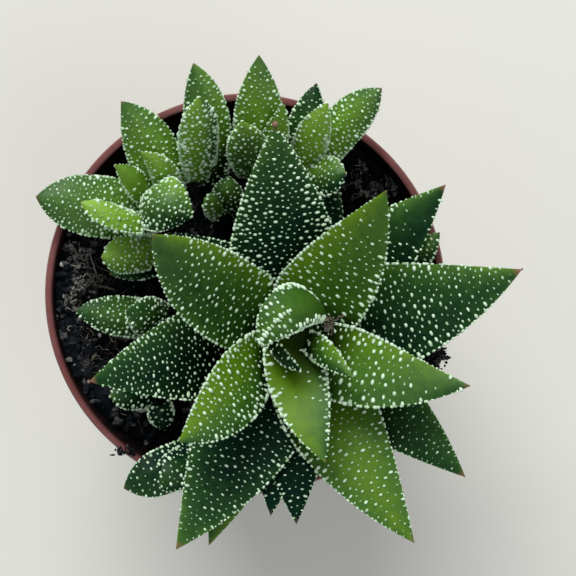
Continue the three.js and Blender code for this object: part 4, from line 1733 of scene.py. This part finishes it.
@dataclass
class Litter:
    """Dry fibres, a root thread and pale grains on the soil, in the mother rosette and on the rim.

    Each thread is its start, its end, how far its middle is lifted and its radius. askew is a direction
    that no strand follows, from which the strands' sections are laid out. open_side is the azimuths and
    open_ring the distances from the middle where open_share of the fibres lie. Radii are millimetres.
    """

    bed: SoilBed
    fibre: bpy.types.Material
    root: bpy.types.Material
    perlite: bpy.types.Material
    sides: int = 5
    steps: int = 9
    askew: tuple[float, float, float] = (0.31, 0.17, 0.93)
    fibres: int = 210
    fibre_ring: Span = (12, 40)
    fibre_radii: Span = (0.05, 0.14)
    open_share: float = 0.55
    open_ring: Span = (30, 40)
    open_side: Span = (150, 235)
    root_radii: Span = (0.08, 0.2)
    tuft_radii: Span = (0.1, 0.2)
    tuft_middle: tuple[float, float, float] = (18.2, -6.6, RIM_HEIGHT + 10.5)
    hair_radius: float = 0.07
    hair_middle: tuple[float, float, float] = (42.6, -14.1, RIM_HEIGHT + 1.1)
    grain_ring: Span = (14, 39)
    grain_sizes: Span = (0.15, 0.38)
    tuft_strands: int = 26
    hairs: int = 34
    small_grains: int = 26
    threads: tuple[tuple[Span, Span, float, float], ...] = (
        ((-35.6, 10.0), (-33.7, 1.8), 1.6, 0.2), ((-35.3, 2.2), (-29.8, 0.5), 0.6, 0.28),
    )

    def strand(self, path: Array, thickness: float) -> tuple[Array, list]:
        """A thin tube along a path, closed and pointed at both ends.

        Args:
            path: Points in millimetres.
            thickness: Its radius in the middle.

        Returns:
            Points and faces.
        """
        grid, faces = closed_rings(self.sides, len(path) - 2)
        ring = np.rint(grid[:, 0] * (len(path) - 1)).astype(int)
        along = unit(np.gradient(path, axis=0))
        side = unit(np.cross(along, np.array(self.askew)))
        other = np.cross(along, side)
        swell = thickness * np.sin(np.clip(grid[:, 0], 0, 1) * math.pi) ** 0.4
        angle = grid[:, 1] * 2 * math.pi
        offset = side[ring] * np.cos(angle)[:, None] + other[ring] * np.sin(angle)[:, None]
        return path[ring] + offset * swell[:, None], faces

    def curl(self, start: Array, end: Array, wander: float, random: np.random.Generator) -> Array:
        """A path between two points that wanders a little.

        Args:
            start: The first point in millimetres.
            end: The last point.
            wander: How far it strays at each step.
            random: Source of its bends.

        Returns:
            Its points, one row each.
        """
        share = np.linspace(0, 1, self.steps)[:, None]
        steps = np.cumsum(random.normal(0, 1, (self.steps, 3)), axis=0)
        steps -= steps[0] + (steps[-1] - steps[0]) * share
        return start + (end - start) * share + steps * wander

    def bundle(self, name: str, strands: list[tuple[Array, float]],
               material: bpy.types.Material) -> bpy.types.Object:
        """Many strands in one piece.

        Args:
            name: The piece's name.
            strands: The path and the radius of each strand.
            material: The strands' finish.

        Returns:
            The dressed piece.
        """
        points, faces, start = [], [], 0
        for path, thickness in strands:
            tube, tube_faces = self.strand(path, thickness)
            points.append(tube)
            faces += [[index + start for index in face] for face in tube_faces]
            start += len(tube)
        piece = mesh_object(name, np.concatenate(points), faces)
        piece.data.materials.append(material)
        settle(piece, Slot.FIBRE)
        return piece

    def soil_fibres(self, random: np.random.Generator) -> bpy.types.Object:
        """Short fibres that lie all over the soil, more than half of them in its open western part.

        Args:
            random: Source of their places and bends.

        Returns:
            The dressed piece.
        """
        strands = []
        for _ in range(self.fibres):
            radius, azimuth = random.uniform(*self.fibre_ring), random.uniform(0, 360)
            if random.uniform() < self.open_share:
                radius, azimuth = random.uniform(*self.open_ring), random.uniform(*self.open_side)
            start = np.append(heading(azimuth)[:2] * radius, 0)
            end = start + heading(random.uniform(0, 360)) * random.uniform(1.5, 6)
            if np.hypot(end[0], end[1]) > self.bed.edge_radius:
                end = start + (start - end) * 0.5
            path = self.curl(start, end, 0.18, random)
            path[:, 2] = self.bed.height(path[:, 0], path[:, 1]) + random.uniform(0.2, 1.1)
            strands.append((path, random.uniform(*self.fibre_radii)))
        return self.bundle("soil_fibres", strands, self.fibre)

    def old_roots(self, random: np.random.Generator) -> bpy.types.Object:
        """The long pale root thread in the west, a shorter one under it, and matted roots in the lumps.

        Args:
            random: Source of their places and bends.

        Returns:
            The dressed piece.
        """
        strands = []
        for start, end, lift, thickness in self.threads:
            path = self.curl(np.array([*start, 0.0]), np.array([*end, 0.0]), 0.1, random)
            path[:, 2] = self.bed.height(path[:, 0], path[:, 1])
            path[:, 2] += 0.8 + np.sin(np.linspace(0, math.pi, self.steps)) * lift
            strands.append((path, thickness))
        for x, y, spread, richness, shade in self.bed.lumps:
            for _ in range(int(richness * shade * 0.55)):
                start = np.array([x, y, 0.0]) + np.array([*random.normal(0, 0.6 * spread, 2), 0.0])
                end = start + heading(random.uniform(0, 360)) * random.uniform(0.8, 3.0)
                if max(np.hypot(*start[:2]), np.hypot(*end[:2])) > self.bed.edge_radius:
                    continue
                path = self.curl(start, end, 0.3, random)
                path[:, 2] = self.bed.height(path[:, 0], path[:, 1]) + random.uniform(0.6, 1.9)
                path[:, 2] += random.normal(0, 0.25, self.steps)
                strands.append((path, random.uniform(*self.root_radii)))
        return self.bundle("old_roots", strands, self.root)

    def centre_tuft(self, random: np.random.Generator) -> bpy.types.Object:
        """The dry remains of a flower stalk between the youngest leaves.

        Args:
            random: Source of the strands' ends and bends.

        Returns:
            The dressed piece.
        """
        middle = np.array(self.tuft_middle)
        strands = []
        for _ in range(self.tuft_strands):
            start = middle + random.normal(0, 1, 3) * (0.6, 0.6, 0.8)
            end = start + unit(random.normal(0, 1, 3)) * random.uniform(1.2, 2.4)
            strands.append((self.curl(start, end, 0.3, random), random.uniform(*self.tuft_radii)))
        return self.bundle("centre_tuft", strands, self.fibre)

    def rim_hairs(self, random: np.random.Generator) -> bpy.types.Object:
        """Fine root hairs that stand out of the peat clump on the east rim.

        Args:
            random: Source of their directions, lengths and bends.

        Returns:
            The dressed piece.
        """
        middle = np.array(self.hair_middle)
        strands = []
        for _ in range(self.hairs):
            out = unit(np.array([0.8, 0.1, 0.5]) + random.normal(0, 0.7, 3))
            path = self.curl(middle, middle + out * random.uniform(1.6, 3.6), 0.22, random)
            strands.append((path, self.hair_radius))
        return self.bundle("rim_hairs", strands, self.fibre)

    def grains(self, random: np.random.Generator) -> bpy.types.Object:
        """Pale grains in the peat: one large one in the south-west, and small ones here and there.

        Args:
            random: Source of the small ones' places and of all the grains' unevenness.

        Returns:
            The dressed piece.
        """
        spots = [
            (-24.3, -26.9, 1.25), (-41.6, 6.6, 0.75), (-26.6, -23.9, 0.6), (-33.5, -9.6, 0.42),
            (-36.9, 3.2, 0.35), (-31.9, -12.9, 0.35), (-12.5, -28.5, 0.4), (-35.5, 2.2, 0.4),
        ]
        for _ in range(self.small_grains):
            radius, angle = random.uniform(*self.grain_ring), random.uniform(0, 360)
            size = random.uniform(*self.grain_sizes)
            spots.append((radius * math.cos(angle), radius * math.sin(angle), size))
        x, y, size = np.array(spots).T
        places = np.stack([x, y, self.bed.height(x, y) + size * 0.4 + 0.5], axis=1)
        grains = self.bed.heap("perlite_grains", places, size, np.zeros(len(size)), random)
        grains.data.materials.append(self.perlite)
        grains.data.shade_smooth()
        settle(grains, Slot.PERLITE)
        return grains

    def build(self) -> list[bpy.types.Object]:
        """Makes every loose strand and grain.

        Returns:
            The dressed pieces.
        """
        random = np.random.default_rng(SEED + 1)
        return [self.soil_fibres(random), self.old_roots(random), self.centre_tuft(random),
                self.rim_hairs(random), self.grains(random)]


# Surroundings of the render.

def lay_floor(material: bpy.types.Material) -> None:
    """A plain pale floor under the pot, which isn't part of the object.

    Args:
        material: The floor's finish.
    """
    deselect_all()
    bpy.ops.mesh.primitive_plane_add(size=6, location=(0, 0, -0.0002))
    floor = bpy.context.object
    floor.name = "floor"
    floor.data.materials.append(material)


@dataclass(frozen=True)
class Lamp:
    """A square lamp that faces the plant; its place and size are metres, its power watts."""

    name: str
    place: tuple[float, float, float]
    size: float
    power: float
    colour: Colour


@dataclass
class Studio:
    """The camera straight above the plant, and soft light that comes mostly from its north side."""

    distance: float = 300.0
    offset: Span = (9.6, 1.3)
    view_width: float = 129.1
    lamps: tuple[Lamp, ...] = (
        Lamp("window", (-0.26, 1.1, 1.02), 0.95, 21.5, (1.0, 0.99, 0.96)),
        Lamp("fill", (0.7, -0.6, 1.0), 1.0, 3.0, (0.95, 0.98, 1.0)),
    )
    aim: tuple[float, float, float] = (0.0, 0.0, 0.08)
    glow: Colour = (0.95, 0.98, 1.0)
    glow_strength: float = 0.415

    def camera(self) -> None:
        """Sets the camera at the photograph's viewing angle."""
        data = bpy.data.cameras.new("camera")
        data.sensor_fit = "HORIZONTAL"
        data.angle = 2 * math.atan(self.view_width / 2 / self.distance)
        data.clip_start = 0.01
        camera = bpy.data.objects.new("camera", data)
        camera.location = (self.offset[0] * MM, self.offset[1] * MM, (RIM_HEIGHT + self.distance) * MM)
        bpy.context.scene.collection.objects.link(camera)
        bpy.context.scene.camera = camera

    def hang(self, lamp: Lamp) -> None:
        """Hangs one lamp.

        Args:
            lamp: The lamp.
        """
        data = bpy.data.lights.new(lamp.name, "AREA")
        data.size = lamp.size
        data.energy = lamp.power
        data.color = lamp.colour
        hung = bpy.data.objects.new(lamp.name, data)
        hung.location = lamp.place
        toward = Vector(self.aim) - Vector(lamp.place)
        hung.rotation_euler = toward.to_track_quat("-Z", "Y").to_euler()
        bpy.context.scene.collection.objects.link(hung)

    def light(self) -> None:
        """Sets the soft main light, a weak fill and the surroundings' glow."""
        for lamp in self.lamps:
            self.hang(lamp)
        world = bpy.data.worlds.new("surroundings")
        world.use_nodes = True
        background = world.node_tree.nodes["Background"]
        background.inputs["Color"].default_value = (*self.glow, 1)
        background.inputs["Strength"].default_value = self.glow_strength
        bpy.context.scene.world = world
        bpy.context.scene.view_settings.view_transform = "Standard"


def main() -> None:
    """Builds every sub-assembly in order and reports each piece."""
    logging.basicConfig(level=logging.INFO, format="%(message)s")
    studio = Studio()
    studio.camera()
    studio.light()
    lay_floor(PaleFloor().material())
    NurseryPot(PotPlastic().material()).build()
    bed = SoilBed(Peat().material(), [plan.stem for plan in PLANS])
    bed.build()
    fibre = PlainGrain("dry_fibre", (0.035, 0.024, 0.019), (0.240, 0.195, 0.155)).material()
    perlite = PlainGrain("perlite", (0.420, 0.400, 0.370), (0.620, 0.600, 0.570)).material()
    root = PlainGrain("old_root", (0.075, 0.072, 0.062), (0.270, 0.255, 0.215)).material()
    Litter(bed, fibre, root, perlite).build()
    white = WhiteTubercle().material()
    withered = PlainGrain("withered_tip", (0.130, 0.058, 0.042), (0.300, 0.160, 0.125), 0.6).material()
    mother_skin = LeafSkin("mother_leaf").material()
    offset_skin = LeafSkin(
        "offset_leaf", fresh=(0.066, 0.160, 0.030), young=(0.142, 0.290, 0.028),
        palest=(0.240, 0.450, 0.050), warmth=(0.92, 1.0, 0.5), shine=0.2,
    ).material()
    for plan in PLANS:
        if plan.node == "mother_rosette":
            Rosette(plan, mother_skin, white, withered, Slot.MOTHER).build()
        else:
            Rosette(plan, offset_skin, white, withered, Slot.OFFSET).build()


if __name__ == "__main__":
    main()
